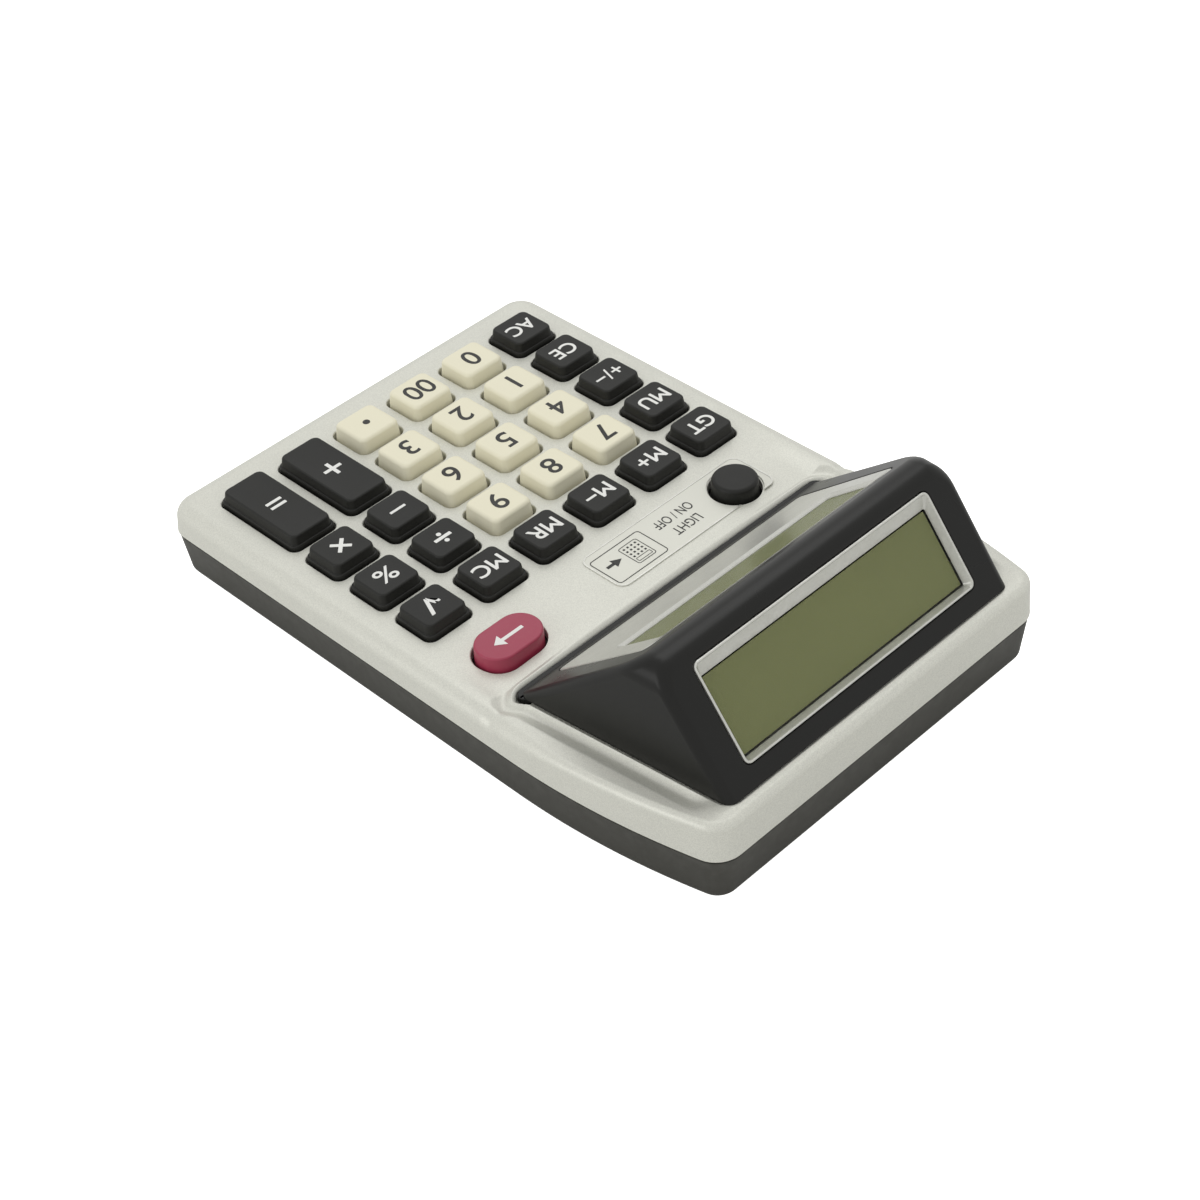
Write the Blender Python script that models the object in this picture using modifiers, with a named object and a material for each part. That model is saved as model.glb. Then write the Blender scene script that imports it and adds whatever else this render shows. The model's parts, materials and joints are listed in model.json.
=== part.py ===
import bpy
import bmesh
import math
from mathutils import Vector

# Desk calculator with a raised two-sided display head. Metres, +Z up.
# +X is the user's right, +Y runs from the front edge to the display head, the feet stand on z = 0.

# running clearances
fit_gap = 0.0003
key_clearance = 0.0004

# key field
column_pitch = 0.0205
row_pitch = 0.0184
key_spacing_x = 0.0053
key_spacing_y = 0.0041
key_stand = 0.0041
oval_key_stand = 0.0036
round_button_stand = 0.0040
key_travel = 0.0020
key_corner = 0.0016
key_top_inset = 0.0006
key_chamfer = 0.0006
flange_lip = 0.0007
flange_height = 0.0013
oval_key_length = 0.0204
oval_key_width = 0.0132
round_button_diameter = 0.0138

# margins along the case
side_margin = 0.0108
front_margin = 0.0202
function_row_gap = 0.0234
head_gap = 0.0154
head_depth = 0.0706
rear_ledge = 0.0021

# case shells
case_corner = 0.0080
taper_radius = 0.2400
shell_height = 0.0088
base_height = 0.0149
shell_wall = 0.0020
base_wall = 0.0022
top_edge_radius = 0.0044
base_draft = 0.0018
base_fillet = 0.0030
sole_step = 0.0015
sole_inset = 0.0022
sole_front_setback = 0.0345
foot_stand = 0.0006
foot_diameter = 0.0090
foot_recess = 0.0010
land_rise = 0.0030

# display head
head_height = 0.0326
head_front_half_width = 0.0580
head_rear_half_width = 0.0532
head_side_lean = 0.0010
ridge_width = 0.0062
ridge_radius = 0.0026
rear_face_run = 0.0250
head_wall = 0.0030
head_corner = 0.0040
bezel_thickness = 0.0015
window_thickness = 0.0010
lcd_thickness = 0.0020
front_bezel_foot = 0.0030
front_bezel_head = 0.0054
front_bezel_width = 0.0930
front_window_foot = 0.0218
front_window_head = 0.0012
front_window_width = 0.0768
rear_bezel_foot = 0.0090
rear_bezel_head = 0.0032
rear_bezel_width = 0.0872
rear_window_foot = 0.0020
rear_window_head = 0.0042
rear_window_width = 0.0826
window_overlap = 0.0012

# inside
board_thickness = 0.0016
membrane_thickness = 0.0012
battery_diameter = 0.0143
battery_length = 0.0500
battery_side_gap = 0.0010
door_thickness = 0.0016
door_travel = 0.0200
contact_thickness = 0.0005
spring_length = 0.0045
spring_wire = 0.0003
spring_turns = 3
boss_radius = 0.0030
screw_shank_radius = 0.0012
screw_head_radius = 0.0024
screw_head_height = 0.0016
screw_length = 0.0125
boss_inset = 0.0080
lamp_radius = 0.0025
lamp_height = 0.0070
lens_radius = 0.0045
lens_thickness = 0.0012

# derived levels
key_width = column_pitch - key_spacing_x
key_depth = row_pitch - key_spacing_y
case_width = 5.0 * column_pitch + key_width + 2.0 * side_margin
case_length = front_margin + 4.0 * row_pitch + function_row_gap + head_gap + head_depth + rear_ledge
front_y = -case_length / 2.0
rear_y = case_length / 2.0
sole_z = foot_stand
floor_z = sole_z + sole_step
parting_z = floor_z + base_height
top_z = parting_z + shell_height
under_top_z = top_z - shell_wall
flange_top_z = under_top_z - fit_gap
flange_bottom_z = flange_top_z - flange_height
membrane_top_z = flange_bottom_z - key_travel - fit_gap
board_top_z = membrane_top_z - membrane_thickness - fit_gap
function_row_y = front_y + front_margin + 4.0 * row_pitch + function_row_gap
head_front_y = function_row_y + head_gap
head_rear_y = rear_y - rear_ledge
head_base_z = top_z + fit_gap
ridge_z = head_base_z + head_height
ridge_rear_y = head_rear_y - rear_face_run
ridge_front_y = ridge_rear_y - ridge_width
taper_start_y = head_front_y + 0.0080
inner_floor_z = floor_z + base_wall


def column_x(column):
    return (column - 2.5) * column_pitch


def row_y(row):
    return front_y + front_margin + row * row_pitch


for leftover in list(bpy.data.objects):
    bpy.data.objects.remove(leftover, do_unlink=True)

scene = bpy.context.scene
parts_collection = bpy.data.collections.new("desk_calculator")
cutters_collection = bpy.data.collections.new("desk_calculator_cutters")
scene.collection.children.link(parts_collection)
scene.collection.children.link(cutters_collection)


def make_material(name, colour, roughness, metallic=0.0):
    material = bpy.data.materials.new(name)
    material.use_nodes = True
    shader = material.node_tree.nodes["Principled BSDF"]
    shader.inputs["Base Color"].default_value = (*colour, 1.0)
    shader.inputs["Roughness"].default_value = roughness
    shader.inputs["Metallic"].default_value = metallic
    return material


silver_plastic = make_material("silver_plastic", (0.66, 0.66, 0.60), 0.45)
dark_plastic = make_material("dark_plastic", (0.075, 0.072, 0.060), 0.50)
gloss_black = make_material("gloss_black", (0.022, 0.022, 0.019), 0.12)
key_black = make_material("key_black", (0.040, 0.041, 0.034), 0.40)
key_cream = make_material("key_cream", (0.69, 0.64, 0.52), 0.40)
key_red = make_material("key_red", (0.41, 0.075, 0.120), 0.35)
bezel_silver = make_material("bezel_silver", (0.60, 0.60, 0.55), 0.35)
window_clear = make_material("window_clear", (0.80, 0.82, 0.78), 0.05)
lcd_green = make_material("lcd_green", (0.175, 0.191, 0.080), 0.25)
board_green = make_material("board_green", (0.04, 0.16, 0.06), 0.45)
membrane_grey = make_material("membrane_grey", (0.35, 0.35, 0.34), 0.80)
rubber_black = make_material("rubber_black", (0.02, 0.02, 0.02), 0.90)
steel = make_material("steel", (0.60, 0.60, 0.60), 0.30, 1.0)
battery_sleeve = make_material("battery_sleeve", (0.10, 0.10, 0.11), 0.30)
lamp_violet = make_material("lamp_violet", (0.32, 0.24, 0.55), 0.10)


def new_object(name, mesh, material, collection=parts_collection):
    thing = bpy.data.objects.new(name, mesh)
    collection.objects.link(thing)
    if material is not None:
        mesh.materials.append(material)
    if collection is cutters_collection:
        thing.hide_render = True
        thing.display_type = "WIRE"
    return thing


def fillet_outline(corners, radii, steps):
    """Points round a convex outline, each corner replaced by an arc."""
    points = []
    count = len(corners)
    for index in range(count):
        here = Vector(corners[index])
        before = (Vector(corners[index - 1]) - here).normalized()
        after = (Vector(corners[(index + 1) % count]) - here).normalized()
        half = before.angle(after) / 2.0
        radius = radii[index]
        centre = here + (before + after).normalized() * (radius / math.sin(half))
        start = here + before * (radius / math.tan(half)) - centre
        finish = here + after * (radius / math.tan(half)) - centre
        sweep = start.angle(finish)
        for step in range(steps + 1):
            share = step / steps
            blend = start * math.sin((1.0 - share) * sweep) + finish * math.sin(share * sweep)
            points.append(centre + blend / math.sin(sweep))
    return points


def rectangle(width, depth, radius, steps=2):
    half_x, half_y = width / 2.0, depth / 2.0
    corners = [(-half_x, -half_y), (half_x, -half_y), (half_x, half_y), (-half_x, half_y)]
    return fillet_outline(corners, [radius] * 4, steps)


def circle(radius, sides):
    return [Vector((math.cos(2.0 * math.pi * i / sides), math.sin(2.0 * math.pi * i / sides))) * radius
            for i in range(sides)]


def case_outline(inset):
    """Plan of the case, its sides drawn in by a long arc behind the keys, moved inwards by inset."""
    half = case_width / 2.0
    arc_x = half - taper_radius
    rear_corner_y = rear_y - case_corner
    reach = math.sqrt((taper_radius - case_corner) ** 2 - (rear_corner_y - taper_start_y) ** 2)
    corner_x = arc_x + reach
    corner_angle = math.atan2(rear_corner_y - taper_start_y, reach)
    right = []
    for step in range(5):
        angle = -math.pi / 2.0 * (1.0 - step / 4.0)
        right.append((half - case_corner + (case_corner - inset) * math.cos(angle),
                      front_y + case_corner + (case_corner - inset) * math.sin(angle)))
    for step in range(6):
        angle = corner_angle * step / 5.0
        right.append((arc_x + (taper_radius - inset) * math.cos(angle),
                      taper_start_y + (taper_radius - inset) * math.sin(angle)))
    for step in range(1, 5):
        angle = corner_angle + (math.pi / 2.0 - corner_angle) * step / 4.0
        right.append((corner_x + (case_corner - inset) * math.cos(angle),
                      rear_corner_y + (case_corner - inset) * math.sin(angle)))
    left = [(-x, y) for x, y in reversed(right)]
    return [Vector(point) for point in right + left]


def level(outline, z):
    return [Vector((point.x, point.y, z)) for point in outline]


def loft_mesh(name, rings):
    """Closed skin through rings of equal length, running bottom to top and counter-clockwise."""
    builder = bmesh.new()
    rows = [[builder.verts.new(point) for point in ring] for ring in rings]
    for low, high in zip(rows, rows[1:]):
        for i in range(len(low)):
            j = (i + 1) % len(low)
            builder.faces.new((low[i], low[j], high[j], high[i]))
    builder.faces.new(list(reversed(rows[0])))
    builder.faces.new(rows[-1])
    bmesh.ops.recalc_face_normals(builder, faces=builder.faces)
    mesh = bpy.data.meshes.new(name)
    builder.to_mesh(mesh)
    builder.free()
    return mesh


def loft(name, rings, material=None, collection=parts_collection):
    return new_object(name, loft_mesh(name, rings), material, collection)


def slab(name, outline, low, high, material=None, collection=parts_collection):
    return loft(name, [level(outline, low), level(outline, high)], material, collection)


def boolean(target, tool, operation):
    modifier = target.modifiers.new(tool.name, "BOOLEAN")
    modifier.operation = operation
    modifier.solver = "EXACT"
    modifier.object = tool


def cutter_slab(name, outline, low, high):
    return slab(name, outline, low, high, None, cutters_collection)


def shifted(outline, x, y):
    return [point + Vector((x, y)) for point in outline]


def join_outlines(name, outlines, low, high):
    """One cutter made of separate prisms standing side by side."""
    builder = bmesh.new()
    for outline in outlines:
        rows = [[builder.verts.new(point) for point in level(outline, z)] for z in (low, high)]
        for i in range(len(outline)):
            j = (i + 1) % len(outline)
            builder.faces.new((rows[0][i], rows[0][j], rows[1][j], rows[1][i]))
        builder.faces.new(list(reversed(rows[0])))
        builder.faces.new(rows[1])
    mesh = bpy.data.meshes.new(name)
    builder.to_mesh(mesh)
    builder.free()
    return new_object(name, mesh, None, cutters_collection)


def cylinder(name, radius, low, high, x, y, material=None, sides=20, collection=parts_collection):
    mesh = bpy.data.meshes.new(name)
    builder = bmesh.new()
    bmesh.ops.create_cone(builder, cap_ends=True, segments=sides, radius1=radius, radius2=radius,
                          depth=high - low)
    builder.to_mesh(mesh)
    builder.free()
    thing = new_object(name, mesh, material, collection)
    thing.location = (x, y, (low + high) / 2.0)
    return thing


def turned(name, profile, material, sides=20):
    """Solid of revolution about Z from a profile at +X that runs down its outer side."""
    mesh = bpy.data.meshes.new(name)
    mesh.from_pydata([(x, 0.0, z) for x, z in profile], [(i, i + 1) for i in range(len(profile) - 1)], [])
    thing = new_object(name, mesh, material)
    screw = thing.modifiers.new("turn", "SCREW")
    screw.steps = sides
    screw.render_steps = sides
    screw.use_merge_vertices = True
    screw.merge_threshold = 0.00001
    return thing


# upper shell
edge_steps = 3
outer_rings = [level(case_outline(0.0), parting_z + fit_gap)]
for step in range(edge_steps + 1):
    angle = math.pi / 2.0 * step / edge_steps
    inset = 0.0005 + top_edge_radius * (1.0 - math.cos(angle))
    outer_rings.append(level(case_outline(inset), top_z - top_edge_radius * (1.0 - math.sin(angle))))
top_case = loft("top_case", outer_rings, silver_plastic)

# low land that lifts the shell round the head, rising towards the rear
land_side = 0.0056
land_corners = [(-head_front_half_width - land_side, head_front_y + 0.0020),
                (head_front_half_width + land_side, head_front_y + 0.0020),
                (head_rear_half_width + land_side, rear_y - 0.0012),
                (-head_rear_half_width - land_side, rear_y - 0.0012)]
land_outline = fillet_outline(land_corners, [0.0040, 0.0040, 0.0060, 0.0060], 2)
land_front = min(point.y for point in land_outline)
land_back = max(point.y for point in land_outline)
land_top = [Vector((point.x, point.y, top_z + 0.0002 + land_rise * (point.y - land_front)
                    / (land_back - land_front))) for point in land_outline]
land = loft("land_join", [level(land_outline, top_z - shell_wall * 1.5), land_top], None, cutters_collection)
boolean(top_case, land, "UNION")

inner_rings = [level(case_outline(shell_wall), parting_z - shell_wall),
               level(case_outline(shell_wall + 0.0005), top_z - top_edge_radius),
               level(case_outline(shell_wall + top_edge_radius * 0.7), under_top_z)]
boolean(top_case, loft("top_case_hollow", inner_rings, None, cutters_collection), "DIFFERENCE")

# keys and their holes
key_names = [["key_ac", "key_ce", "key_sign", "key_mu", "key_gt"],
             ["key_0", "key_1", "key_4", "key_7", "key_m_plus"],
             ["key_00", "key_2", "key_5", "key_8", "key_m_minus"],
             ["key_dot", "key_3", "key_6", "key_9", "key_mr"],
             ["key_plus", None, "key_minus", "key_divide", "key_mc"],
             ["key_equals", None, "key_multiply", "key_percent", "key_sqrt"]]
hole_outlines = []


def add_key(name, outline_for, x, y, material, stand=key_stand):
    """A cap with a chamfered top edge and a flange that stays under the shell."""
    key_top_z = top_z + stand
    rings = [level(outline_for(flange_lip), flange_bottom_z), level(outline_for(flange_lip), flange_top_z),
             level(outline_for(0.0), flange_top_z), level(outline_for(0.0), top_z),
             level(outline_for(-key_top_inset), key_top_z - key_chamfer),
             level(outline_for(-key_top_inset - key_chamfer), key_top_z)]
    for ring in rings:
        for point in ring:
            point.z -= key_top_z
    key = loft(name, rings, material)
    key.location = (x, y, key_top_z)
    hole_outlines.append(shifted(outline_for(key_clearance), x, y))
    return key


for column, names in enumerate(key_names):
    for row, name in enumerate(names):
        if name is None:
            continue
        tall = name in ("key_plus", "key_equals")
        reach = row_pitch if tall else 0.0
        cream = 0 < column < 4 and row < 4

        def square_outline(grow, reach=reach):
            return rectangle(key_width + 2.0 * grow, key_depth + reach + 2.0 * grow, key_corner + grow)

        add_key(name, square_outline, column_x(column), row_y(row) + reach / 2.0,
                key_cream if cream else key_black)


def oval_outline(grow):
    return rectangle(oval_key_length + 2.0 * grow, oval_key_width + 2.0 * grow,
                     oval_key_width / 2.0 + grow - 0.0001, 5)


def round_outline(grow):
    return circle(round_button_diameter / 2.0 + grow, 24)


add_key("key_backspace", oval_outline, column_x(5) - 0.0052, function_row_y, key_red, oval_key_stand)
add_key("lamp_button", round_outline, column_x(1) - 0.0092, function_row_y, key_black, round_button_stand)
boolean(top_case, join_outlines("key_holes", hole_outlines, under_top_z - 0.0010, top_z + 0.0010),
        "DIFFERENCE")


# display head: a wedge with a sloping front face, a steeper rear face and sides that lean in
front_slope = math.atan2(head_height, ridge_front_y - head_front_y)
rear_slope = math.atan2(head_height, head_rear_y - ridge_rear_y)


def head_ring(z, grow, pull):
    """Plan of the wedge at height z, its planes moved outwards by grow and its ends in by pull."""
    rise = z - head_base_z
    share = rise / head_height
    front = head_front_y + rise / math.tan(front_slope) - grow / math.sin(front_slope) + pull
    rear = head_rear_y - rise / math.tan(rear_slope) + grow / math.sin(rear_slope) - pull
    narrow = (head_front_half_width - head_rear_half_width) * 0.75 * share
    front_half = head_front_half_width - head_side_lean * share - narrow + grow
    rear_half = head_rear_half_width - head_side_lean * share + grow
    corners = [(-front_half, front), (front_half, front), (rear_half, rear), (-rear_half, rear)]
    corner = head_corner * (1.0 - 0.75 * share)
    return level(fillet_outline(corners, [corner, corner, corner * 0.6, corner * 0.6], 3), z)


def head_loft(name, grow, low_z, material, collection):
    """The wedge, swollen by grow, from low_z to the rounded ridge."""
    shoulder_z = ridge_z + grow - ridge_radius * 0.6
    rings = [head_ring(low_z, grow, 0.0), head_ring(shoulder_z, grow, 0.0),
             head_ring(ridge_z + grow, grow, ridge_radius * 0.25)]
    return loft(name, rings, material, collection)


head_housing = head_loft("head_housing", 0.0, head_base_z, gloss_black, parts_collection)
head_hollow = head_loft("head_hollow", -head_wall, head_base_z - 0.0005, None, cutters_collection)
boolean(head_housing, head_hollow, "DIFFERENCE")

# the land stands clear of the head, and wires pass down through the shell under it
head_seat = head_loft("head_seat", fit_gap + 0.0001, top_z, None, cutters_collection)
boolean(top_case, head_seat, "DIFFERENCE")
wire_opening = fillet_outline([(-head_rear_half_width + 0.0080, head_front_y + 0.0100),
                               (head_rear_half_width - 0.0080, head_front_y + 0.0100),
                               (head_rear_half_width - 0.0080, head_rear_y - 0.0080),
                               (-head_rear_half_width + 0.0080, head_rear_y - 0.0080)], [0.003] * 4, 2)
boolean(top_case, cutter_slab("wire_opening", wire_opening, under_top_z - 0.001, top_z + 0.001), "DIFFERENCE")

# frames of the two faces: local X along the face, local Y up the slope, local Z outwards
front_frame = bpy.data.objects.new("front_face_frame", None)
rear_frame = bpy.data.objects.new("rear_face_frame", None)
for frame in (front_frame, rear_frame):
    parts_collection.objects.link(frame)
front_frame.location = (0.0, head_front_y, head_base_z)
front_frame.rotation_euler = (front_slope, 0.0, 0.0)
rear_frame.location = (0.0, head_rear_y, head_base_z)
rear_frame.rotation_euler = (rear_slope, 0.0, math.pi)


def face_piece(name, frame, width, height, start, radius, low, high, material, collection=parts_collection):
    piece = slab(name, shifted(rectangle(width, height, radius), 0.0, start + height / 2.0), low, high,
                 material, collection)
    piece.parent = frame
    return piece


def display_side(side, frame, slope_length, bezel_foot, bezel_head, bezel_width,
                 view_foot, view_head, view_width):
    """Bezel let into the face, clear window behind it and the display glass inside."""
    gap = fit_gap
    bezel_height = slope_length - bezel_foot - bezel_head
    view_height = bezel_height - view_foot - view_head
    view_start = bezel_foot + view_foot
    seat_depth = bezel_thickness + gap
    pocket = face_piece(side + "_pocket", frame, bezel_width, bezel_height, bezel_foot, 0.0022,
                        -seat_depth, 0.0060, None, cutters_collection)
    boolean(head_housing, pocket, "DIFFERENCE")
    over = window_overlap
    through = face_piece(side + "_through", frame, view_width + 2.0 * over, view_height + 2.0 * over,
                         view_start - over, 0.0012, -head_wall - 0.0005, 0.0010, None, cutters_collection)
    boolean(head_housing, through, "DIFFERENCE")
    bezel = face_piece(side + "_bezel", frame, bezel_width - 2.0 * gap, bezel_height - 2.0 * gap,
                       bezel_foot + gap, 0.0020, -bezel_thickness, 0.0, bezel_silver)
    view = face_piece(side + "_view", frame, view_width, view_height, view_start, 0.0012,
                      -bezel_thickness - 0.0010, 0.0010, None, cutters_collection)
    boolean(bezel, view, "DIFFERENCE")
    window_top = -seat_depth
    face_piece(side + "_window", frame, view_width + 2.0 * (over - gap), view_height + 2.0 * (over - gap),
               view_start - over + gap, 0.0010, window_top - window_thickness, window_top, window_clear)
    lcd_top = -head_wall - gap * 1.5
    face_piece(side + "_lcd", frame, view_width + 0.0030, view_height + 0.0030, view_start - 0.0015, 0.0004,
               lcd_top - lcd_thickness, lcd_top, lcd_green)


display_side("front", front_frame, head_height / math.sin(front_slope), front_bezel_foot, front_bezel_head,
             front_bezel_width, front_window_foot, front_window_head, front_window_width)
display_side("rear", rear_frame, head_height / math.sin(rear_slope), rear_bezel_foot, rear_bezel_head,
             rear_bezel_width, rear_window_foot, rear_window_head, rear_window_width)

# lower shell with its sole
base_rings = [level(case_outline(base_draft + base_fillet), floor_z)]
for step in (1, 2, 3):
    angle = math.pi / 2.0 * step / 3.0
    base_rings.append(level(case_outline(base_draft + base_fillet * (1.0 - math.sin(angle))),
                            floor_z + base_fillet * (1.0 - math.cos(angle))))
base_rings.append(level(case_outline(0.0004), parting_z - fit_gap))
bottom_case = loft("bottom_case", base_rings, dark_plastic)

sole_half = case_width / 2.0 - base_draft - base_fillet - sole_inset
rear_narrow = case_width / 2.0 - max(p.x for p in case_outline(0.0) if p.y > rear_y - case_corner - 0.0001)
sole_outline = fillet_outline([(-sole_half, front_y + sole_front_setback),
                               (sole_half, front_y + sole_front_setback),
                               (sole_half, head_front_y),
                               (sole_half - rear_narrow, rear_y - 0.0070),
                               (-sole_half + rear_narrow, rear_y - 0.0070),
                               (-sole_half, head_front_y)],
                              [0.0060, 0.0060, 0.0200, 0.0060, 0.0060, 0.0200], 3)
sole = slab("sole_join", sole_outline, sole_z, floor_z + base_wall * 0.5, None, cutters_collection)
boolean(bottom_case, sole, "UNION")
hollow_rings = [level(case_outline(base_draft + base_fillet + 0.0012), inner_floor_z),
                level(case_outline(base_draft + base_wall), inner_floor_z + base_fillet),
                level(case_outline(base_wall + 0.0004), parting_z + 0.0010)]
boolean(bottom_case, loft("bottom_case_hollow", hollow_rings, None, cutters_collection), "DIFFERENCE")

# screw bosses with counterbored holes
boss_top_z = parting_z - 0.0020
rear_boss_x = case_width / 2.0 - rear_narrow - boss_inset
boss_places = [(-case_width / 2.0 + boss_inset, front_y + boss_inset),
               (case_width / 2.0 - boss_inset, front_y + boss_inset),
               (-rear_boss_x, rear_y - boss_inset - 0.0030), (rear_boss_x, rear_y - boss_inset - 0.0030)]
bosses = join_outlines("boss_join", [shifted(circle(boss_radius, 16), x, y) for x, y in boss_places],
                       floor_z + base_wall * 0.5, boss_top_z)
boolean(bottom_case, bosses, "UNION")
shank_holes = join_outlines("shank_holes", [shifted(circle(screw_shank_radius + fit_gap, 12), x, y)
                                            for x, y in boss_places], sole_z - 0.001, boss_top_z + 0.001)
boolean(bottom_case, shank_holes, "DIFFERENCE")
seat_z = floor_z + 0.0022
head_bores = join_outlines("head_bores", [shifted(circle(screw_head_radius + fit_gap, 16), x, y)
                                          for x, y in boss_places], sole_z - 0.001, seat_z)
boolean(bottom_case, head_bores, "DIFFERENCE")
screw_names = ["screw_front_left", "screw_front_right", "screw_rear_left", "screw_rear_right"]
for name, (x, y) in zip(screw_names, boss_places):
    tip_z = seat_z + screw_length - screw_head_height
    screw = turned(name, [(0.0, tip_z), (screw_shank_radius * 0.5, tip_z - 0.0002),
                          (screw_shank_radius, tip_z - 0.0012), (screw_shank_radius, seat_z - fit_gap),
                          (screw_head_radius, seat_z - fit_gap),
                          (screw_head_radius, seat_z - fit_gap - screw_head_height * 0.6),
                          (screw_head_radius * 0.7, seat_z - fit_gap - screw_head_height),
                          (0.0, seat_z - fit_gap - screw_head_height)], steel, 16)
    screw.location = (x, y, 0.0)

# battery bay under the head, closed by a door that slides to the rear in a channel of the sole
bay_length = battery_length + spring_length + contact_thickness + 0.0030
bay_width = 2.0 * battery_diameter + battery_side_gap + 0.0024
bay_y = head_front_y + (head_rear_y - head_front_y) * 0.45
bay_outline = shifted(rectangle(bay_length, bay_width, 0.0010), 0.0, bay_y)
boolean(bottom_case, cutter_slab("bay_cut", bay_outline, sole_z - 0.001, inner_floor_z + 0.001), "DIFFERENCE")
door_width = bay_length + 0.0060
door_depth = bay_width + 0.0060
door_front_y = bay_y - door_depth / 2.0
channel_back = rear_y
channel = shifted(rectangle(door_width + 2.0 * fit_gap, channel_back - door_front_y, 0.0008), 0.0,
                  (channel_back + door_front_y) / 2.0 - fit_gap)
boolean(bottom_case, cutter_slab("door_channel", channel, sole_z - 0.001, sole_z + door_thickness + fit_gap),
        "DIFFERENCE")
battery_door = slab("battery_door", rectangle(door_width, door_depth, 0.0010), 0.0, door_thickness,
                    dark_plastic)
battery_door.location = (0.0, bay_y + fit_gap, sole_z)
grip = shifted(rectangle(0.0140, 0.0030, 0.0006), 0.0, door_depth * 0.30)
boolean(battery_door, cutter_slab("door_grip", shifted(grip, 0.0, bay_y), sole_z - 0.001, sole_z + 0.0006),
        "DIFFERENCE")

# cells with their contacts; the two cells lie in opposite directions
battery_z = sole_z + door_thickness + 2.0 * fit_gap + battery_diameter / 2.0
bay_end = bay_length / 2.0 - 0.0006
for name, sense, offset in (("1", 1.0, -1.0), ("2", -1.0, 1.0)):
    y = bay_y + offset * (battery_diameter + battery_side_gap) / 2.0
    radius = battery_diameter / 2.0
    cell = turned("battery_" + name, [(0.0, battery_length), (0.0027, battery_length),
                                      (0.0027, battery_length - 0.0012),
                                      (radius - 0.0008, battery_length - 0.0012),
                                      (radius, battery_length - 0.0020), (radius, 0.0006),
                                      (radius - 0.0006, 0.0), (0.0, 0.0)], battery_sleeve, 20)
    cell_start = -sense * (bay_end - spring_length)
    cell.rotation_euler = (0.0, sense * math.pi / 2.0, 0.0)
    cell.location = (cell_start, y, battery_z)
    plate = slab("contact_plate_" + name, rectangle(0.0090, 0.0090, 0.0010), 0.0, contact_thickness, steel)
    plate.rotation_euler = (0.0, sense * math.pi / 2.0, 0.0)
    plate.location = (sense * (bay_end - contact_thickness), y, battery_z)
    curve = bpy.data.curves.new("contact_spring_" + name, "CURVE")
    curve.dimensions = "3D"
    curve.bevel_depth = spring_wire
    curve.bevel_resolution = 1
    curve.use_fill_caps = True
    spline = curve.splines.new("POLY")
    turns = 10 * spring_turns
    free_length = spring_length - 2.0 * fit_gap - 2.0 * spring_wire
    spline.points.add(turns)
    for i in range(turns + 1):
        share = i / turns
        angle = 2.0 * math.pi * spring_turns * share
        coil_radius = 0.0034 - 0.0014 * share
        spline.points[i].co = (coil_radius * math.cos(angle), coil_radius * math.sin(angle),
                               fit_gap + spring_wire + free_length * share, 1.0)
    coil = bpy.data.objects.new("contact_spring_" + name, curve)
    curve.materials.append(steel)
    parts_collection.objects.link(coil)
    coil.rotation_euler = (0.0, sense * math.pi / 2.0, 0.0)
    coil.location = (-sense * bay_end, y, battery_z)

# rubber feet let into the sole
foot_x = sole_half - foot_diameter
foot_places = {"foot_front_left": (-foot_x, front_y + sole_front_setback + foot_diameter),
               "foot_front_right": (foot_x, front_y + sole_front_setback + foot_diameter),
               "foot_rear_left": (-foot_x + rear_narrow, rear_y - 0.0070 - foot_diameter - 2.0 * boss_inset),
               "foot_rear_right": (foot_x - rear_narrow, rear_y - 0.0070 - foot_diameter - 2.0 * boss_inset)}
foot_seats = join_outlines("foot_seats", [shifted(circle(foot_diameter / 2.0 + fit_gap, 24), x, y)
                                          for x, y in foot_places.values()],
                           sole_z - 0.001, sole_z + foot_recess)
boolean(bottom_case, foot_seats, "DIFFERENCE")
for name, (x, y) in foot_places.items():
    cylinder(name, foot_diameter / 2.0, 0.0, sole_z + foot_recess - fit_gap, x, y, rubber_black, 24)

# lamp that shines down through a lens in the floor behind the left foot
lamp_x = -foot_x + rear_narrow
lamp_y = foot_places["foot_rear_left"][1] - 0.0200
lens_hole = shifted(circle(lens_radius + fit_gap, 20), lamp_x, lamp_y)
boolean(bottom_case, cutter_slab("lens_hole", lens_hole, sole_z - 0.001, inner_floor_z + 0.001), "DIFFERENCE")
cylinder("lamp_lens", lens_radius, sole_z + 0.0004, sole_z + 0.0004 + lens_thickness, lamp_x, lamp_y,
         window_clear, 20)
lamp_low = sole_z + 0.0004 + lens_thickness + 0.0010
uv_lamp = turned("uv_lamp", [(0.0, lamp_height), (lamp_radius * 1.16, lamp_height),
                             (lamp_radius * 1.16, lamp_height - 0.0012),
                             (lamp_radius, lamp_height - 0.0012), (lamp_radius, lamp_radius),
                             (lamp_radius * 0.72, lamp_radius * 0.30), (0.0, 0.0)], lamp_violet, 16)
uv_lamp.location = (lamp_x, lamp_y, lamp_low)

# boards and membrane
board_width = 5.0 * column_pitch + key_width
board_front = row_y(0) - key_depth / 2.0
board_back = function_row_y + oval_key_width / 2.0 + 0.0012
sheet = rectangle(board_width, board_back - board_front, 0.0015)
sheet = shifted(sheet, 0.0, (board_back + board_front) / 2.0)
slab("keypad_membrane", sheet, membrane_top_z - membrane_thickness, membrane_top_z, membrane_grey)
slab("main_board", sheet, board_top_z - board_thickness, board_top_z, board_green)

display_board = slab("display_board", rectangle(front_window_width, head_height * 0.52, 0.0010),
                     0.0, board_thickness, board_green)
display_board.rotation_euler = (math.pi / 2.0, 0.0, 0.0)
display_board.location = (0.0, ridge_front_y + 0.0030, head_base_z + head_height * 0.28)

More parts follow.
